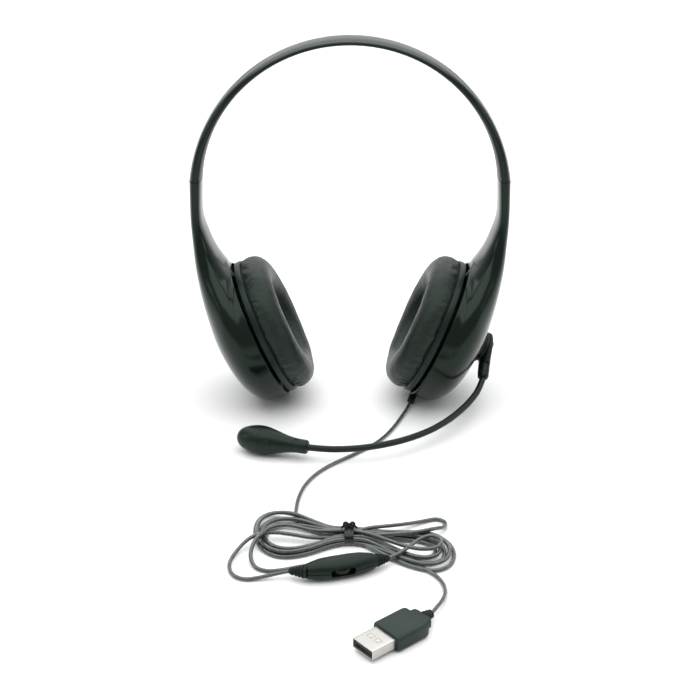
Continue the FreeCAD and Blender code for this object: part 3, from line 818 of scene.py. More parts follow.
@dataclass
class CupModule:
    """What sits in the shell: the ring, the speaker cloth and the cushion."""

    cup: Cup = field(default_factory=Cup)
    inner: float = 18.6
    outer: float = 37.0
    crest: float = 12.6
    voxel: float = 2.2
    swell: float = 1.3
    frames: int = 20
    steps: int = 96
    folds: int = 52
    seam_fold: float = 0.36
    ear_fold: float = 0.18
    slackness: float = 0.8

    def ring_profile(self) -> Profile:
        """The moulded ring between the shell and the cushion."""
        return ((21, -3.2), (29, -3.2), (31, -3.8), (36.5, -3.8), (37, -3.4), (37, -0.75), (36.75, -0.45),
                (30, -0.4), (29, -1.4), (21, -1.4))

    def cushion_profile(self) -> Profile:
        """The slack cover, before it is filled."""
        inner, outer, crest = self.inner, self.outer, self.crest
        return ((inner + 1.6, -0.1), (inner, 3.0), (inner, 7.6), (inner + 2.4, crest - 2.2),
                (inner + 5.6, crest - 0.6), (27.6, crest), (31.2, crest - 0.8),
                (outer - 2.2, crest - 3.0),
                (outer - 0.4, 6.8), (outer, 4.2), (outer - 0.2, 1.5), (outer - 0.6, -0.1))

    def filled(self) -> BMesh:
        """The cushion's cover, blown up over its foam and puckered at its seam, about the cup's axis."""
        slack = turned(self.cushion_profile(), self.steps, 0.0)
        slack.transform(Matrix.Scale(MM, 4))
        body = standing("cushion_slack", as_mesh("cushion_slack", slack))
        remesh = body.modifiers.new("even", "REMESH")
        remesh.mode, remesh.voxel_size = "VOXEL", self.voxel * MM
        even = applied(body)
        body.modifiers.clear()
        body.data = even
        self.blow_up(body)
        finer = body.modifiers.new("finer", "SUBSURF")
        finer.levels = finer.render_levels = 2
        smooth = applied(body)
        bm = bmesh.new()
        bm.from_mesh(smooth)
        bm.transform(Matrix.Scale(1 / MM, 4))
        bpy.data.objects.remove(body)
        self.pucker(bm)
        return bm

    def blow_up(self, body: bpy.types.Object) -> None:
        """Fills the cover by cloth simulation, held at its base, and applies what came out."""
        held = body.vertex_groups.new(name="held")
        held.add([vert.index for vert in body.data.vertices if vert.co.z < 2.0 * MM], 1.0, "REPLACE")
        cloth = body.modifiers.new("fill", "CLOTH")
        cloth.settings.quality = 6
        cloth.settings.mass = 0.08
        cloth.settings.tension_stiffness = cloth.settings.compression_stiffness = 12.0
        cloth.settings.bending_stiffness = 0.4
        cloth.settings.vertex_group_mass = "held"
        cloth.settings.use_pressure = True
        cloth.settings.uniform_pressure_force = 4.0
        cloth.settings.effector_weights.gravity = 0.0
        cloth.collision_settings.use_collision = False
        cloth.point_cache.frame_start, cloth.point_cache.frame_end = 1, self.frames
        scene = bpy.context.scene
        for moment in range(1, self.frames + 1):
            scene.frame_set(moment)
        blown = applied(body)
        body.modifiers.clear()
        most = self.swell * MM
        for vert, target in zip(body.data.vertices, blown.vertices):
            shift = target.co - vert.co
            vert.co += shift * min(1.0, most / max(shift.length, 1e-9))
        scene.frame_set(1)
        log.info("filled the cushion over %d frames", self.frames)

    def pucker(self, bm: BMesh) -> None:
        """Gathers the cover in small folds at its outer and inner seams."""
        bm.normal_update()
        for vert in bm.verts:
            spot = vert.co
            radius, angle = math.hypot(spot.x, spot.y), math.atan2(spot.y, spot.x)
            near_seam = math.exp(-((spot.z - 2.2) / 2.6) ** 2) if radius > 28 else 0.0
            near_ear = math.exp(-((spot.z - 5.0) / 3.5) ** 2) if radius < 24 else 0.0
            drift = noise.noise(Vector((math.cos(angle), math.sin(angle), spot.z * 0.03)) * 6.0)
            wave = math.sin(angle * self.folds + drift * 5) * (0.5 + drift)
            soft = noise.noise(spot * 0.11) * 0.35 + noise.noise(spot * 0.34) * 0.12
            depth = wave * (self.seam_fold * near_seam + self.ear_fold * near_ear) + soft * self.slackness
            vert.co += vert.normal * depth

    def build(self, shop: Workshop) -> None:
        """Makes the ring, cloth and cushion of both cups."""
        cover = self.filled()
        for side in Side:
            body, carry = f"{side}_cup", self.cup.on(side)
            shop.add(f"{side}_cushion_ring", turned(self.ring_profile(), self.steps, 0.3), body,
                     Slot.SATIN_BLACK, [f"{side}_baffle"], carry=carry)
            cloth = turned(((0.0, 1.05), (8.0, 0.98), (16.0, 0.78), (25.0, 0.35), (25.0, -0.3),
                            (0.0, -0.3)),
                           self.steps, 0.0)
            shop.add(f"{side}_speaker_cloth", cloth, body, Slot.SPEAKER_CLOTH, [f"{side}_scrim"],
                     carry=carry)
            pad = shop.add(f"{side}_ear_cushion", cover.copy(), body, Slot.LEATHERETTE,
                           [f"{side}_cushion"],
                           smooth=180, carry=carry)
        cover.free()


# ------------------------------------------------------------------ boom and microphone
@dataclass
class Boom:
    """The swivelling arm with its gooseneck and capsule."""

    cup: Cup = field(default_factory=Cup)
    apex: float = -29.6
    hub_thick: float = 3.6
    socket_end: Vector = fixed(69.9, -18.1, 17.8)
    diameter: float = 3.3
    route: tuple[Point, ...] = (
        (69.9, -18.1, 17.8), (67.6, -25.6, 15.4), (62.6, -34.2, 12.8), (55.8, -43.6, 10.9),
        (48.0, -52.6, 9.6), (38.8, -61.0, 8.8), (28.6, -67.6, 8.3), (18.0, -72.2, 7.9),
        (7.2, -75.2, 7.6), (-3.4, -76.4, 7.4), (-12.6, -76.0, 7.3), (-19.6, -74.5, 7.3),
    )
    mic_start: Vector = fixed(-19.6, -74.5, 7.3)
    mic_tip: Vector = fixed(-56.1, -62.5, 7.3)
    mic_radius: float = 7.25
    sleeve: float = 8.0

    def build(self, shop: Workshop) -> None:
        """Makes the boss, hub, lever, gooseneck and capsule."""
        carry = self.cup.on(Side.RIGHT)
        back = self.apex - 0.9
        boss = turned(((0, -27.0), (9.6, -27.0), (8.9, self.apex - 0.2), (8.4, self.apex - 0.6),
                       (0, self.apex - 0.6)), 64, 0.2)
        shop.add("boom_boss", boss, "right_earpiece", Slot.SATIN_BLACK, ["boom_washer"], carry=carry)
        face = back - self.hub_thick
        hub = turned(((0, back), (7.8, back), (7.8, face + 1.6), (4.9, face + 0.8), (4.6, face - 0.9),
                      (4.3, face - 1.25), (0, face - 1.5)), 72, 0.12)
        shop.add("boom_pivot_cap", hub, "boom", Slot.SATIN_BLACK, ["boom_hub"], carry=carry)
        self.build_lever(shop, carry @ Vector((0, 0, back - self.hub_thick / 2)))
        neck = nurbs("boom_neck", self.route, self.diameter)
        shop.dress(neck, "boom", Slot.BOOM_JACKET, ["boom_gooseneck"])
        self.build_capsule(shop)

    def build_lever(self, shop: Workshop, centre: Vector) -> None:
        """The drop-shaped lever from the pivot down to the gooseneck."""
        length = (self.socket_end - centre).length
        along = (self.socket_end - centre).normalized()
        outward = (self.cup.on(Side.RIGHT).to_3x3() @ Vector((0, 0, -1))).normalized()
        across = outward.cross(along).normalized()
        outward = along.cross(across).normalized()
        rows = ((-8.2, 0.9, 0.6), (-8.0, 2.5, 1.2), (-7.2, 4.5, 1.8), (-5.4, 6.6, 2.2), (-2.6, 7.9, 2.4),
                (0.6, 8.2, 2.45), (4.0, 7.4, 2.5), (7.4, 5.8, 2.6), (11.0, 4.4, 2.75),
                (length - 8.0, 3.5, 2.9),
                (length - 3.2, 3.0, 2.9), (length - 3.0, 2.75, 2.65), (length - 2.5, 2.75, 2.65),
                (length - 2.3, 2.95, 2.85), (length - 0.7, 2.8, 2.75), (length, 2.35, 2.35),
                (length + 0.05, 1.7, 1.7))
        rings = []
        for place, wide, thick in rows:
            middle = centre + along * place + outward * 0.4 * max(0.0,
                                                                  1.0 - max(0.0, place) / (length - 3.0))
            rings.append([middle + across * a + outward * b for a,
                          b in superellipse(wide, thick, 2.3, 36)])
        shop.add("boom_lever", loft(rings), "boom", Slot.SATIN_BLACK, ["boom_socket"])

    def build_capsule(self, shop: Workshop) -> None:
        """The sleeve and the two halves of the microphone's capsule."""
        length = (self.mic_tip - self.mic_start).length
        joint = length * 0.66
        neck = 3.68
        sleeve = ((-0.2, 0), (-0.2, 1.62), (1.2, 1.7), (1.3, 2.9), (1.7, 3.35), (2.4, 3.5), (5.0, 3.55),
                  (self.sleeve, neck - 0.03), (self.sleeve, 0))
        rear = [(self.sleeve, 0), (self.sleeve, neck)]
        for step in range(1, 13):
            share = step / 12
            rise = share * share * (3 - 2 * share)
            rear.append((self.sleeve + (joint - self.sleeve - 0.04) * share,
                         neck + (self.mic_radius - neck) * (0.35 * share + 0.65 * rise)))
        rear += [(joint - 0.04, self.mic_radius - 0.1), (joint - 0.04, 0)]
        front = [(joint, 0), (joint, self.mic_radius - 0.1), (joint + 0.05, self.mic_radius - 0.01)]
        for step in range(1, 15):
            angle = step / 15 * math.pi / 2
            front.append((joint + (length - joint) * math.sin(angle) ** 1.04,
                          self.mic_radius * math.cos(angle) ** 0.82))
        front += [(length, 1.1), (length - 0.5, 0.8), (length - 0.6, 0)]
        for name, profile, node in (("mic_neck_sleeve", sleeve, "mic_sleeve"),
                                    ("mic_back_half", rear, "mic_rear_shell"),
                                    ("mic_front_half", front, "mic_front_shell")):
            shape = turned_on_line(self.mic_start, self.mic_tip, profile, corner=0.08, steps=64)
            shop.add(name, shape, "boom", Slot.SATIN_BLACK, [node], smooth=45)
        self.build_port(shop, joint - 4.2)

    def build_port(self, shop: Workshop, place: float) -> None:
        """The small sound port on the capsule's upper side."""
        axis = (self.mic_tip - self.mic_start).normalized()
        facing = Vector((0.0, -0.93, 0.37))
        out = (facing - axis * facing.dot(axis)).normalized()
        spot = self.mic_start + axis * place + out * (self.mic_radius - 0.62)
        port = turned(((0, -0.4), (1.15, -0.4), (1.15, 0.28), (0.85, 0.34), (0.72, 0.0), (0, -0.08)), 28,
                      0.05)
        shop.add("mic_port", port, "boom", Slot.GRILLE_PLASTIC,
                 carry=axes_matrix(axis, out.cross(axis), out, spot))


# ------------------------------------------------------------------ cords
@dataclass
class Cords:
    """The cord: out of the right shell, wound in a tied bow, through the control to the plug."""

    diameter: float = 1.8
    tie: Vector = fixed(-0.4, -146.2, 0.0)
    relief: tuple[Point, Point] = ((35.9, -4.4, 6.2), (32.1, -15.0, 2.0))
    lead: tuple[Point, ...] = (
        (32.1, -15.0, 2.0), (30.0, -21.0, 1.1), (27.0, -29.4, 0.9), (22.8, -40.8, 0.9),
        (17.2, -52.4, 0.9),
        (9.8, -62.4, 0.9), (0.4, -71.0, 0.9), (-9.0, -79.8, 0.9), (-16.4, -88.6, 0.9),
        (-21.6, -99.4, 0.9),
        (-24.2, -110.6, 0.9), (-25.0, -121.0, 0.9), (-25.0, -130.2, 0.9),
    )
    # under the bow's left lobe and into the tie, about the tie
    entry: tuple[Point, ...] = ((-22.4, 8.6, 0.9), (-14.0, 3.8, 1.0), (-7.0, 1.6, 1.4))
    # one turn of the bow: its outermost and its innermost course, about the tie
    left_outer: tuple[tuple[float, float], ...] = (
        (-8.0, 4.4), (-17.0, 10.2), (-26.0, 17.4), (-34.5, 20.6), (-41.2, 17.0), (-43.0, 7.6),
        (-41.4, -3.6),
        (-36.6, -12.4), (-28.6, -16.4), (-18.0, -13.4), (-8.4, -7.2))
    left_inner: tuple[tuple[float, float], ...] = (
        (-7.0, 1.8), (-14.6, 4.2), (-21.4, 7.0), (-29.0, 9.4), (-35.6, 7.8), (-37.9, 1.4), (-36.0, -5.4),
        (-31.4, -9.8), (-24.2, -10.8), (-15.0, -7.6), (-7.4, -3.2))
    right_outer: tuple[tuple[float, float], ...] = (
        (8.4, -8.0), (16.8, -15.4), (26.4, -23.0), (36.4, -27.0), (44.2, -22.6), (46.8, -13.0),
        (44.6, -3.4),
        (37.8, 3.0), (27.0, 3.2), (16.0, 2.6), (7.0, 4.0))
    right_inner: tuple[tuple[float, float], ...] = (
        (7.4, -2.6), (14.8, -6.2), (22.4, -11.4), (30.0, -16.2), (36.4, -15.6), (38.6, -10.6),
        (36.2, -5.4),
        (30.4, -2.6), (22.4, -2.0), (14.2, -0.6), (7.0, 0.8))
    turns: int = 5
    # where each left lobe climbs over the right one's strands
    climb: float = 1.9
    climb_place: float = 0.18
    climb_width: float = 0.13
    # the last turn's long loop on the right, the way back and the loop to the control
    high_loop: tuple[Point, ...] = ((8.0, 2.6, 4.6), (16.6, 4.6, 4.2), (26.4, 9.6, 2.2),
                                    (34.4, 14.0, 1.0),
                                    (40.0, 16.4, 0.9), (44.2, 13.6, 0.9), (43.6, 7.6, 1.6),
                                    (38.4, 2.0, 4.6),
                                    (30.0, -1.8, 5.0), (20.0, -2.6, 4.6), (9.0, -1.8, 3.4))
    tail: tuple[Point, ...] = ((0.0, -0.9, 1.6), (-8.0, -2.4, 2.6), (-16.8, -3.4, 3.0),
                               (-26.6, -0.6, 3.4),
                               (-35.6, -0.8, 4.6), (-43.6, -3.8, 4.4), (-49.6, -11.0, 1.6),
                               (-52.6, -20.6, 0.9),
                               (-50.6, -29.2, 0.9), (-44.8, -33.0, 0.9), (-37.6, -31.8, 1.4),
                               (-31.0, -30.6, 2.6), (-25.6, -30.0, 3.4))
    # from the control's right end back through the tie, round the left and out to the plug
    second: tuple[Point, ...] = ((17.2, -20.0, 3.4), (21.4, -17.6, 3.8), (25.8, -13.6, 4.6),
                                 (30.4, -8.2, 5.2),
                                 (36.0, -4.4, 5.4), (40.8, -6.8, 5.2), (40.4, -12.6, 5.0),
                                 (34.6, -15.8, 5.0),
                                 (26.4, -14.2, 5.0), (17.4, -8.4, 5.0), (8.4, -2.4, 5.0), (0.0, 0.0, 5.0),
                                 (-8.0, -0.8, 5.0), (-15.6, -0.6, 5.0), (-22.4, 2.8, 4.9),
                                 (-29.4, 3.8, 5.6),
                                 (-36.2, -0.2, 6.4), (-41.6, -7.4, 5.4), (-43.6, -16.2, 2.4),
                                 (-41.2, -23.4, 0.9),
                                 (-35.8, -26.6, 0.9), (-29.0, -25.6, 0.9), (-21.0, -22.6, 0.9),
                                 (-11.6, -20.6, 0.9), (-1.4, -18.2, 0.9), (8.0, -16.4, 0.9),
                                 (16.4, -16.0, 0.9),
                                 (24.0, -18.4, 0.9), (30.4, -22.4, 0.9))
    plug_lead: tuple[Point, ...] = (
        (34.8, -173.4, 0.9), (37.6, -176.9, 0.9), (39.6, -181.4, 0.9), (40.3, -186.4, 1.1),
        (39.8, -191.6, 1.7),
        (38.2, -197.0, 2.6), (35.8, -202.2, 3.4), (33.1, -207.3, 3.7),
    )
    first_length: float = 1.39
    second_length: float = 0.262

    def at_tie(self, points: Iterable[Point]) -> list[Point]:
        """Points about the tie, carried to the band's plane."""
        return [tuple(self.tie + Vector(point)) for point in points]

    def lobe(self, outer: Sequence[tuple[float, float]], inner: Sequence[tuple[float, float]],
             turn: float,
             lane: tuple[float, float], layer: float, lift: Callable[[float], float]) -> list[Point]:
        """One lobe of one turn, about the tie.

        Args:
            outer: the outermost course.
            inner: the innermost course.
            turn: which turn, from 0 outermost to 1 innermost.
            lane: where the course starts and ends in height, beside the tie.
            layer: the height of its far part.
            lift: what is added to the height at a share of the course.

        Returns:
            The lobe's points.
        """
        last = len(outer) - 1
        points = []
        for index, (far, near) in enumerate(zip(outer, inner)):
            share = index / last
            side = abs(2 * share - 1) ** 3
            held = lane[0] if share < 0.5 else lane[1]
            spot = Vector(far).lerp(Vector(near), turn)
            points.append((spot.x, spot.y, layer + (held - layer) * side + lift(share)))
        return points

    def bow(self) -> list[Point]:
        """Every turn of the bow, about the tie."""
        back = ((4.5, 1.6), (4.5, 3.4), (2.7, 1.6), (2.7, 3.4), (0.9, 3.4))
        front = ((-4.5, 1.6), (-4.5, 3.4), (-2.7, 1.6), (-2.7, 3.4), (-0.9, 3.4))
        points: list[Point] = [(0.0, 0.9, 1.6)]
        came = 1.6
        for index in range(self.turns):
            layer = 0.9 if index % 2 == 0 else 2.7
            share = index / (self.turns - 1)
            points += self.lobe(self.right_outer, self.right_inner, share, (came, back[index][1]), layer,
                                lambda part: 0.0)
            points.append((0.0, *back[index]))
            points += self.lobe(self.left_outer, self.left_inner, share,
                                (back[index][1], front[index][1]), layer,
                                lambda part: self.climb * math.exp(
                                    -((part - self.climb_place) / self.climb_width) ** 2))
            points.append((0.0, *front[index]))
            came = front[index][1]
        return points

    def build(self, shop: Workshop, control: "VolumeControl", plug: "Plug") -> None:
        """Makes the cord's two lengths, the strain relief and the tie.

        Args:
            shop: where pieces go.
            control: the control on the cord, already made; not used.
            plug: the plug at its end, already made; not used.
        """
        start, end = (Vector(point) for point in self.relief)
        length = (end - start).length
        profile = [(-1.5, 0), (-1.5, 2.3), (1.0, 2.2)]
        for step in range(3):
            place = 2.6 + step * 2.6
            profile += [(place, 2.3 - step * 0.1), (place + 0.15, 1.98 - step * 0.1),
                        (place + 0.75, 1.95 - step * 0.1), (place + 0.9, 2.25 - step * 0.1)]
        profile += [(length - 0.4, 1.85), (length, 1.5), (length, 0)]
        relief = shop.add("shell_strain_relief", turned_on_line(start, end, profile, 0.06),
                          "right_earpiece",
                          Slot.SOFT_RUBBER, ["cord_strain_relief"])
        tie = TwistTie(self.tie).build(shop)
        first = nurbs("cord_to_control", [*self.lead,
                                          *self.at_tie([*self.entry, *self.bow(), *self.high_loop,
                                                                    *self.tail])], self.diameter)
        shop.dress(first, "right_earpiece", Slot.CORD_JACKET, ["cord_headset_lead", "cord_bundle"])
        second = nurbs("cord_to_plug", [*self.at_tie(self.second), *self.plug_lead], self.diameter)
        shop.dress(second, "right_earpiece", Slot.CORD_JACKET, ["cord_plug_lead"])


@dataclass
class TwistTie:
    """A flat strap round the bow's waist, with its twisted ends looped on top."""

    centre: Vector
    half_waist: float = 5.85
    half_height: float = 2.95
    middle: float = 3.3
    half_width: float = 2.0

    def build(self, shop: Workshop) -> list[bpy.types.Object]:
        """Makes the strap and its ends.

        Returns:
            The pieces.
        """
        rows = ((-self.half_width, 0.15), (-self.half_width + 0.3, 0.35), (0.0, 0.42),
                (self.half_width - 0.3, 0.35),
                (self.half_width, 0.15))
        outline = 44
        rings = []
        for place, proud in (*rows, *((place, -proud) for place, proud in reversed(rows))):
            rings.append([self.centre + Vector((place, a, b + self.middle))
                          for a, b in superellipse(self.half_waist + proud * 0.8,
                                                   self.half_height + proud * 0.8,
                                                   2.9, outline)])
        band = loft([*rings, rings[0]], (False, False))
        bmesh.ops.remove_doubles(band, verts=band.verts, dist=WELD)
        bmesh.ops.recalc_face_normals(band, faces=band.faces)
        strap = shop.add("tie_strap", band, "right_earpiece", Slot.TIE_PLASTIC, ["twist_tie"])
        pieces = [strap]
        for number, side in enumerate((1.0, -1.0)):
            top = self.centre + Vector((0, 0, 6.4))
            course = [(0.35 * side, 0.4, -0.3), (-0.5 * side, -0.4, 0.5), (0.4 * side, 0.3, 1.1),
                      (1.4 * side, 0.2, 1.2), (2.5 * side, -0.2, 1.0), (3.1 * side, -0.3, 0.5),
                      (3.4 * side, -0.2, -0.1)]
            loop = [(0.3 * side, 0.4, 0.2), (0.5 * side, 0.2, 2.0), (1.5 * side, -0.1, 2.9),
                    (2.5 * side, -0.3, 2.3),
                    (2.3 * side, -0.4, 1.1), (1.0 * side, -0.5, 0.4)]
            for label, way in (("end", course), ("loop", loop)):
                wire = nurbs(f"tie_{label}_{number + 1}", [tuple(top + Vector(spot)) for spot in way],
                             0.95)
                pieces.append(shop.dress(wire, "right_earpiece", Slot.TIE_PLASTIC))
        return pieces


@dataclass
class VolumeControl:
    """The spindle-shaped volume control on the cord."""

    left: Vector = fixed(-18.7, -178.4, 4.6)
    right: Vector = fixed(10.6, -170.0, 4.6)
    left_cord: Vector = fixed(-26.0, -176.2, 3.4)
    right_cord: Vector = fixed(16.8, -166.2, 3.4)
    half_height: float = 4.5
    seam: float = 0.09
    wheel_radius: float = 4.4
    wheel_offset: float = -0.7
    notches: int = 22
    pieces: list[bpy.types.Object] = field(default_factory=list)

    def half(self, length: float, upper: bool) -> BMesh:
        """The upper or the lower half of the casing, in the control's own axes."""
        rows = ((0.0, 2.7), (0.15, 3.1), (0.5, 3.35), (length * 0.1, 3.95), (length * 0.2, 4.7),
                (length * 0.3, 5.25),
                (length * 0.4, 5.5), (length * 0.6, 5.5), (length * 0.7, 5.25), (length * 0.8, 4.7),
                (length * 0.9, 3.95), (length - 0.5, 3.35), (length - 0.15, 3.1), (length, 2.7))
        rings = [[Vector((place, a, b)) for a,
                  b in superellipse(radius, min(radius, self.half_height) * 0.99,
                                                                 2.15, 48)] for place, radius in rows]
        bm = loft(rings)
        level = self.seam if upper else -self.seam
        cut = bmesh.ops.bisect_plane(bm, geom=[*bm.verts, *bm.edges, *bm.faces], plane_co=(0, 0, level),
                                     plane_no=(0, 0, 1 if upper else -1), clear_inner=True)
        rim = [item for item in cut["geom_cut"] if isinstance(item, BMEdge)]
        bmesh.ops.edgeloop_fill(bm, edges=rim)
        bmesh.ops.bevel(bm, geom=rim, offset=0.22, segments=2, profile=0.5, affect="EDGES", material=-1)
        bmesh.ops.recalc_face_normals(bm, faces=bm.faces)
        return bm

    def build(self, shop: Workshop) -> None:
        """Makes the casing, the wheel and the two strain reliefs."""
        axes = line_axes(self.left, self.right)
        length = (self.right - self.left).length
        middle = length / 2
        window = block((middle - 5.4, -9.0, -1.75), (middle + 5.4, -1.2, 1.75), 1.2, 4)
        window.transform(TO_ROW @ axes)
        for name, upper, node in (("control_lid", True, "control_top"),
                                  ("control_tray", False, "control_bottom")):
            piece = shop.add(name, self.half(length, upper), "right_earpiece", Slot.CONTROL_PLASTIC,
                             [node],
                             carry=axes)
            piece.data = pierced(piece, window.copy())
            piece.data.set_sharp_from_angle(angle=math.radians(38))
            self.pieces.append(piece)
        window.free()
        self.build_wheel(shop, axes, middle)
        for name, joint, cord in (("left", self.left, self.left_cord),
                                  ("right", self.right, self.right_cord)):
            reach = (cord - joint).length
            profile: list[tuple[float, float]] = [(-1.0, 0), (-1.0, 2.9), (0.2, 2.9)]
            for rib in range(4):
                place = 0.5 + rib * (reach - 1.4) / 4
                radius = 2.95 - rib * 0.36
                profile += [(place, radius - 0.5), (place + 0.45, radius - 0.52),
                            (place + 0.55, radius - 0.05),
                            (place + 1.15, radius - 0.12)]
            profile += [(reach, 1.2), (reach, 0)]
            self.pieces.append(shop.add(f"control_{name}_boot",
                                        turned_on_line(joint, cord, profile, 0.05),
                                        "right_earpiece", Slot.SOFT_RUBBER, [f"control_relief_{name}"]))
        self.pieces += [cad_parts["control_board"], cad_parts["control_screw"]]

    def build_wheel(self, shop: Workshop, axes: Matrix, middle: float) -> None:
        """The notched thumb wheel."""
        count = self.notches * 4
        rings = []
        for height, shrink in ((-1.1, 0.25), (-1.0, 0.05), (-0.85, 0.0), (0.85, 0.0), (1.0, 0.05),
                               (1.1, 0.25)):
            ring = []
            for step in range(count):
                radius = self.wheel_radius - shrink - (0.28 if step % 4 == 0 else 0.0)
                angle = math.tau * step / count
                ring.append(Vector((middle + radius * math.cos(angle),
                                    self.wheel_offset + radius * math.sin(angle), height)))
            rings.append(ring)
        self.pieces.append(shop.add("thumb_wheel", loft(rings), "volume_wheel", Slot.WHEEL_PLASTIC,
                                    ["volume_wheel"], smooth=28, carry=axes))


@dataclass
class Plug:
    """The USB plug, lying flat at the end of the cord."""

    mouth: Vector = fixed(4.9, -231.0, 3.75)
    entry: Vector = fixed(33.1, -207.3, 3.75)
    half_wide: float = 6.0
    half_high: float = 2.25
    wall: float = 0.3
    out: float = 12.0
    pieces: list[bpy.types.Object] = field(default_factory=list)

    def build(self, shop: Workshop) -> None:
        """Makes the moulded body and the metal shell."""
        axes = line_axes(self.mouth, self.entry)
        length = (self.entry - self.mouth).length
        body = self.moulding(length)
        self.pieces.append(shop.add("plug_body", body, "right_earpiece", Slot.PLUG_PLASTIC,
                                    ["plug_overmould"],
                                    smooth=30, carry=axes))
        shell = self.metal_shell()
        piece = shop.add("plug_metal", shell, "right_earpiece", Slot.NICKEL_PLATE, ["plug_shell"],
                         smooth=30,
                         carry=axes)
        self.pieces.append(piece)
        self.pieces += [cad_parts[name] for name in ("plug_tongue", "plug_contacts", "plug_board")]

    def moulding(self, length: float) -> BMesh:
        """The body with its soft corners, the step behind it and the ribbed neck."""
        start, end, step_end = self.out, self.out + 17.0, self.out + 20.5
        rows = ((start, 7.1, 3.0), (start + 0.25, 7.5, 3.45), (start + 0.9, 7.8, 3.7),
                (end - 1.6, 7.8, 3.7),
                (end - 0.5, 7.5, 3.5), (end, 6.7, 2.9), (end + 0.05, 5.5, 2.55), (end + 0.4, 5.4, 2.5),
                (step_end - 0.5, 5.2, 2.4), (step_end, 4.6, 2.1))
        rings = [[Vector((place, a, b)) for a, b in superellipse(wide, high, 5.5, 56)] for place, wide,
                 high in rows]
        body = loft(rings)
        neck_profile: list[tuple[float, float]] = [(0, -0.4), (2.6, -0.4)]
        run = length - step_end
        for rib in range(3):
            place = 0.35 + rib * run / 3
            neck_profile += [(2.1 - rib * 0.22, place), (2.05 - rib * 0.22, place + 0.4),
                             (2.5 - rib * 0.26, place + 0.5), (2.4 - rib * 0.26, place + 1.0)]
        neck_profile += [(1.2, run), (0, run)]
        neck = turned(neck_profile, 36, 0.05)
        neck.transform(Matrix.Translation((step_end, 0, 0)) @ Matrix.Rotation(math.radians(90), 4, "Y"))
        return merged([body, neck])

    def metal_shell(self) -> BMesh:
        """The folded sheet-metal shell with its two shallow latch marks."""
        outer = superellipse(self.half_wide, self.half_high, 14.0, 72)
        inner = superellipse(self.half_wide - self.wall, self.half_high - self.wall, 14.0, 72)
        deep = self.out + 5.0
        rows = ((deep, outer), (0.12, outer), (0.0, [(a * 0.985, b * 0.965) for a, b in outer]),
                (0.0, [(a * 1.01, b * 1.03) for a, b in inner]), (0.12, inner), (deep, inner))
        bm = loft([[Vector((place, a, b)) for a, b in ring] for place, ring in rows], (False, False))
        bmesh.ops.bridge_loops(bm, edges=[edge for edge in bm.edges if edge.is_boundary])
        shell = standing("shell", as_mesh("shell", bm))
        holes = merged([block((5.0, low, 2.06), (7.4, low + 2.5, 3.2), 0.06) for low in (-3.4, 0.9)])
        made = bmesh.new()
        made.from_mesh(pierced(shell, holes))
        bpy.data.objects.remove(shell)
        return made


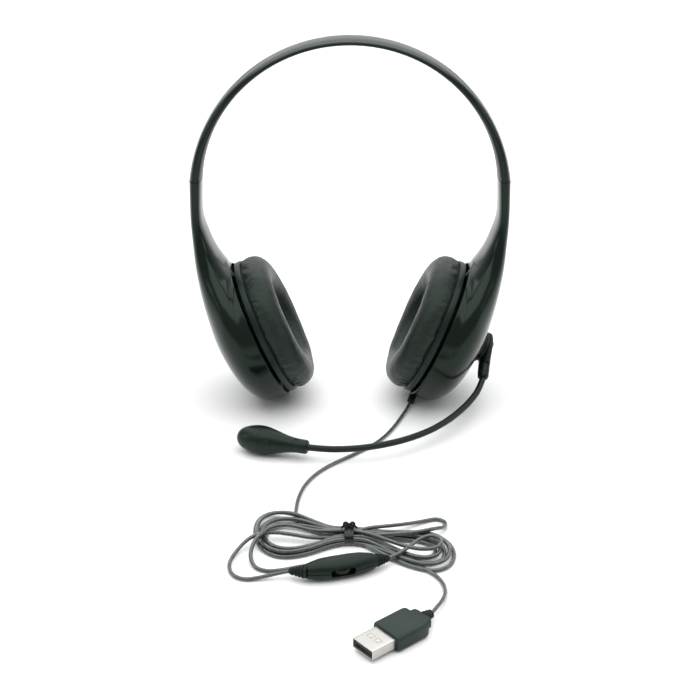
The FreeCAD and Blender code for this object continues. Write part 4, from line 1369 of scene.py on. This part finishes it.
# ------------------------------------------------------------------ studio
@dataclass
class Studio:
    """The pale floor, the soft light and the camera."""

    distance: float = 679.3
    height: float = 342.4
    elevation: float = 25.0
    lens: float = 72.0

    def build(self) -> None:
        """Sets it all up."""
        camera = bpy.data.cameras.new("camera")
        camera.lens, camera.sensor_width = self.lens, 36.0
        camera.clip_start = 0.01
        stand = standing("camera", camera)
        stand.location = (MID_X * MM, (MID_Y - self.distance) * MM, self.height * MM)
        stand.rotation_euler = (math.radians(90 - self.elevation), 0.0, 0.0)
        bpy.context.scene.camera = stand
        bpy.context.scene.view_settings.view_transform = "Standard"
        self.build_floor()
        self.build_world()
        self.lamp("top_softbox", (0.0, 0.1, 1.1), (0.0, 0.0, 0.0), (2.2, 2.2), 29.0)
        self.lamp("back_softbox", (0.0, 1.9, 0.95), (0.0, 0.0, 0.2), (2.6, 1.6), 8.5)
        self.lamp("left_softbox", (-1.1, -0.2, 0.45), (0.0, 0.0, 0.1), (0.3, 0.3), 1.2)
        self.lamp("right_softbox", (1.1, -0.15, 0.45), (0.0, 0.0, 0.1), (0.3, 0.3), 1.2)

    def build_floor(self) -> None:
        """A wide plain floor."""
        bm = bmesh.new()
        bmesh.ops.create_grid(bm, x_segments=1, y_segments=1, size=4.0)
        floor = standing("floor", as_mesh("floor", bm))
        bench = Bench("studio_floor")
        soft = bench.clouds(1.2, 2.0)
        paint = bench.mix(soft, shade(0.90, 0.91, 0.90), shade(0.93, 0.93, 0.93))
        floor.data.materials.append(bench.finish(Base_Color=paint, Roughness=0.7, Specular_IOR_Level=0.2))

    def build_world(self) -> None:
        """An even pale surround."""
        world = bpy.data.worlds.new("surround")
        world.use_nodes = True
        back = world.node_tree.nodes["Background"]
        back.inputs["Color"].default_value = (0.98, 1.0, 0.99, 1.0)
        back.inputs["Strength"].default_value = 0.46
        bpy.context.scene.world = world

    def lamp(self, name: str, place: Point, aim: Point, size: tuple[float, float], power: float) -> None:
        """A soft light.

        Args:
            name: its name.
            place: where it hangs, in metres.
            aim: what it faces.
            size: its width and height.
            power: its strength in watts.
        """
        light = bpy.data.lights.new(name, "AREA")
        light.shape, light.energy = "RECTANGLE", power
        light.size, light.size_y = size
        hung = standing(name, light)
        hung.location = place
        hung.rotation_euler = (Vector(aim) - Vector(place)).to_track_quat("-Z", "Y").to_euler()


def node_slots() -> dict[str, Slot]:
    """The finishes of the frame's own nodes that stay."""
    slots = {
        "band_inner_liner": Slot.SATIN_BLACK, "band_spring": Slot.SPRING_STEEL,
        "slider_screws": Slot.SPRING_STEEL,
        "boom_axle": Slot.SPRING_STEEL, "boom_retainer": Slot.SATIN_BLACK,
        "mic_element": Slot.PLATED_STEEL,
        "control_board": Slot.CIRCUIT_BOARD, "control_screw": Slot.SPRING_STEEL,
        "plug_board": Slot.CIRCUIT_BOARD,
        "plug_tongue": Slot.TONGUE_PLASTIC, "plug_contacts": Slot.GOLD_CONTACT,
    }
    for side in Side:
        slots |= {f"{side}_{part}": slot for part, slot in (
            ("slider_tongue", Slot.SPRING_STEEL), ("detent_spring", Slot.SPRING_STEEL),
            ("tilt_yoke", Slot.SATIN_BLACK), ("tilt_pins", Slot.SPRING_STEEL),
            ("back_cover", Slot.SATIN_BLACK),
            ("driver_frame", Slot.SATIN_BLACK), ("driver_magnet", Slot.PLATED_STEEL),
            ("diaphragm", Slot.CLEAR_FILM), ("grille", Slot.GRILLE_PLASTIC),
            ("cushion_plate", Slot.SATIN_BLACK))}
    return slots


def main() -> None:
    """Builds the studio and the headset, in order."""
    Studio().build()
    shop = Workshop()
    control, plug = VolumeControl(), Plug()
    control.build(shop)
    plug.build(shop)
    Cords().build(shop, control, plug)
    Headband().build(shop)
    ArmShell().build(shop)
    CupModule().build(shop)
    Boom().build(shop)
    shop.dress_nodes(node_slots())
    log.info("%d pieces made", shop.count)


if __name__ == "__main__":
    main()
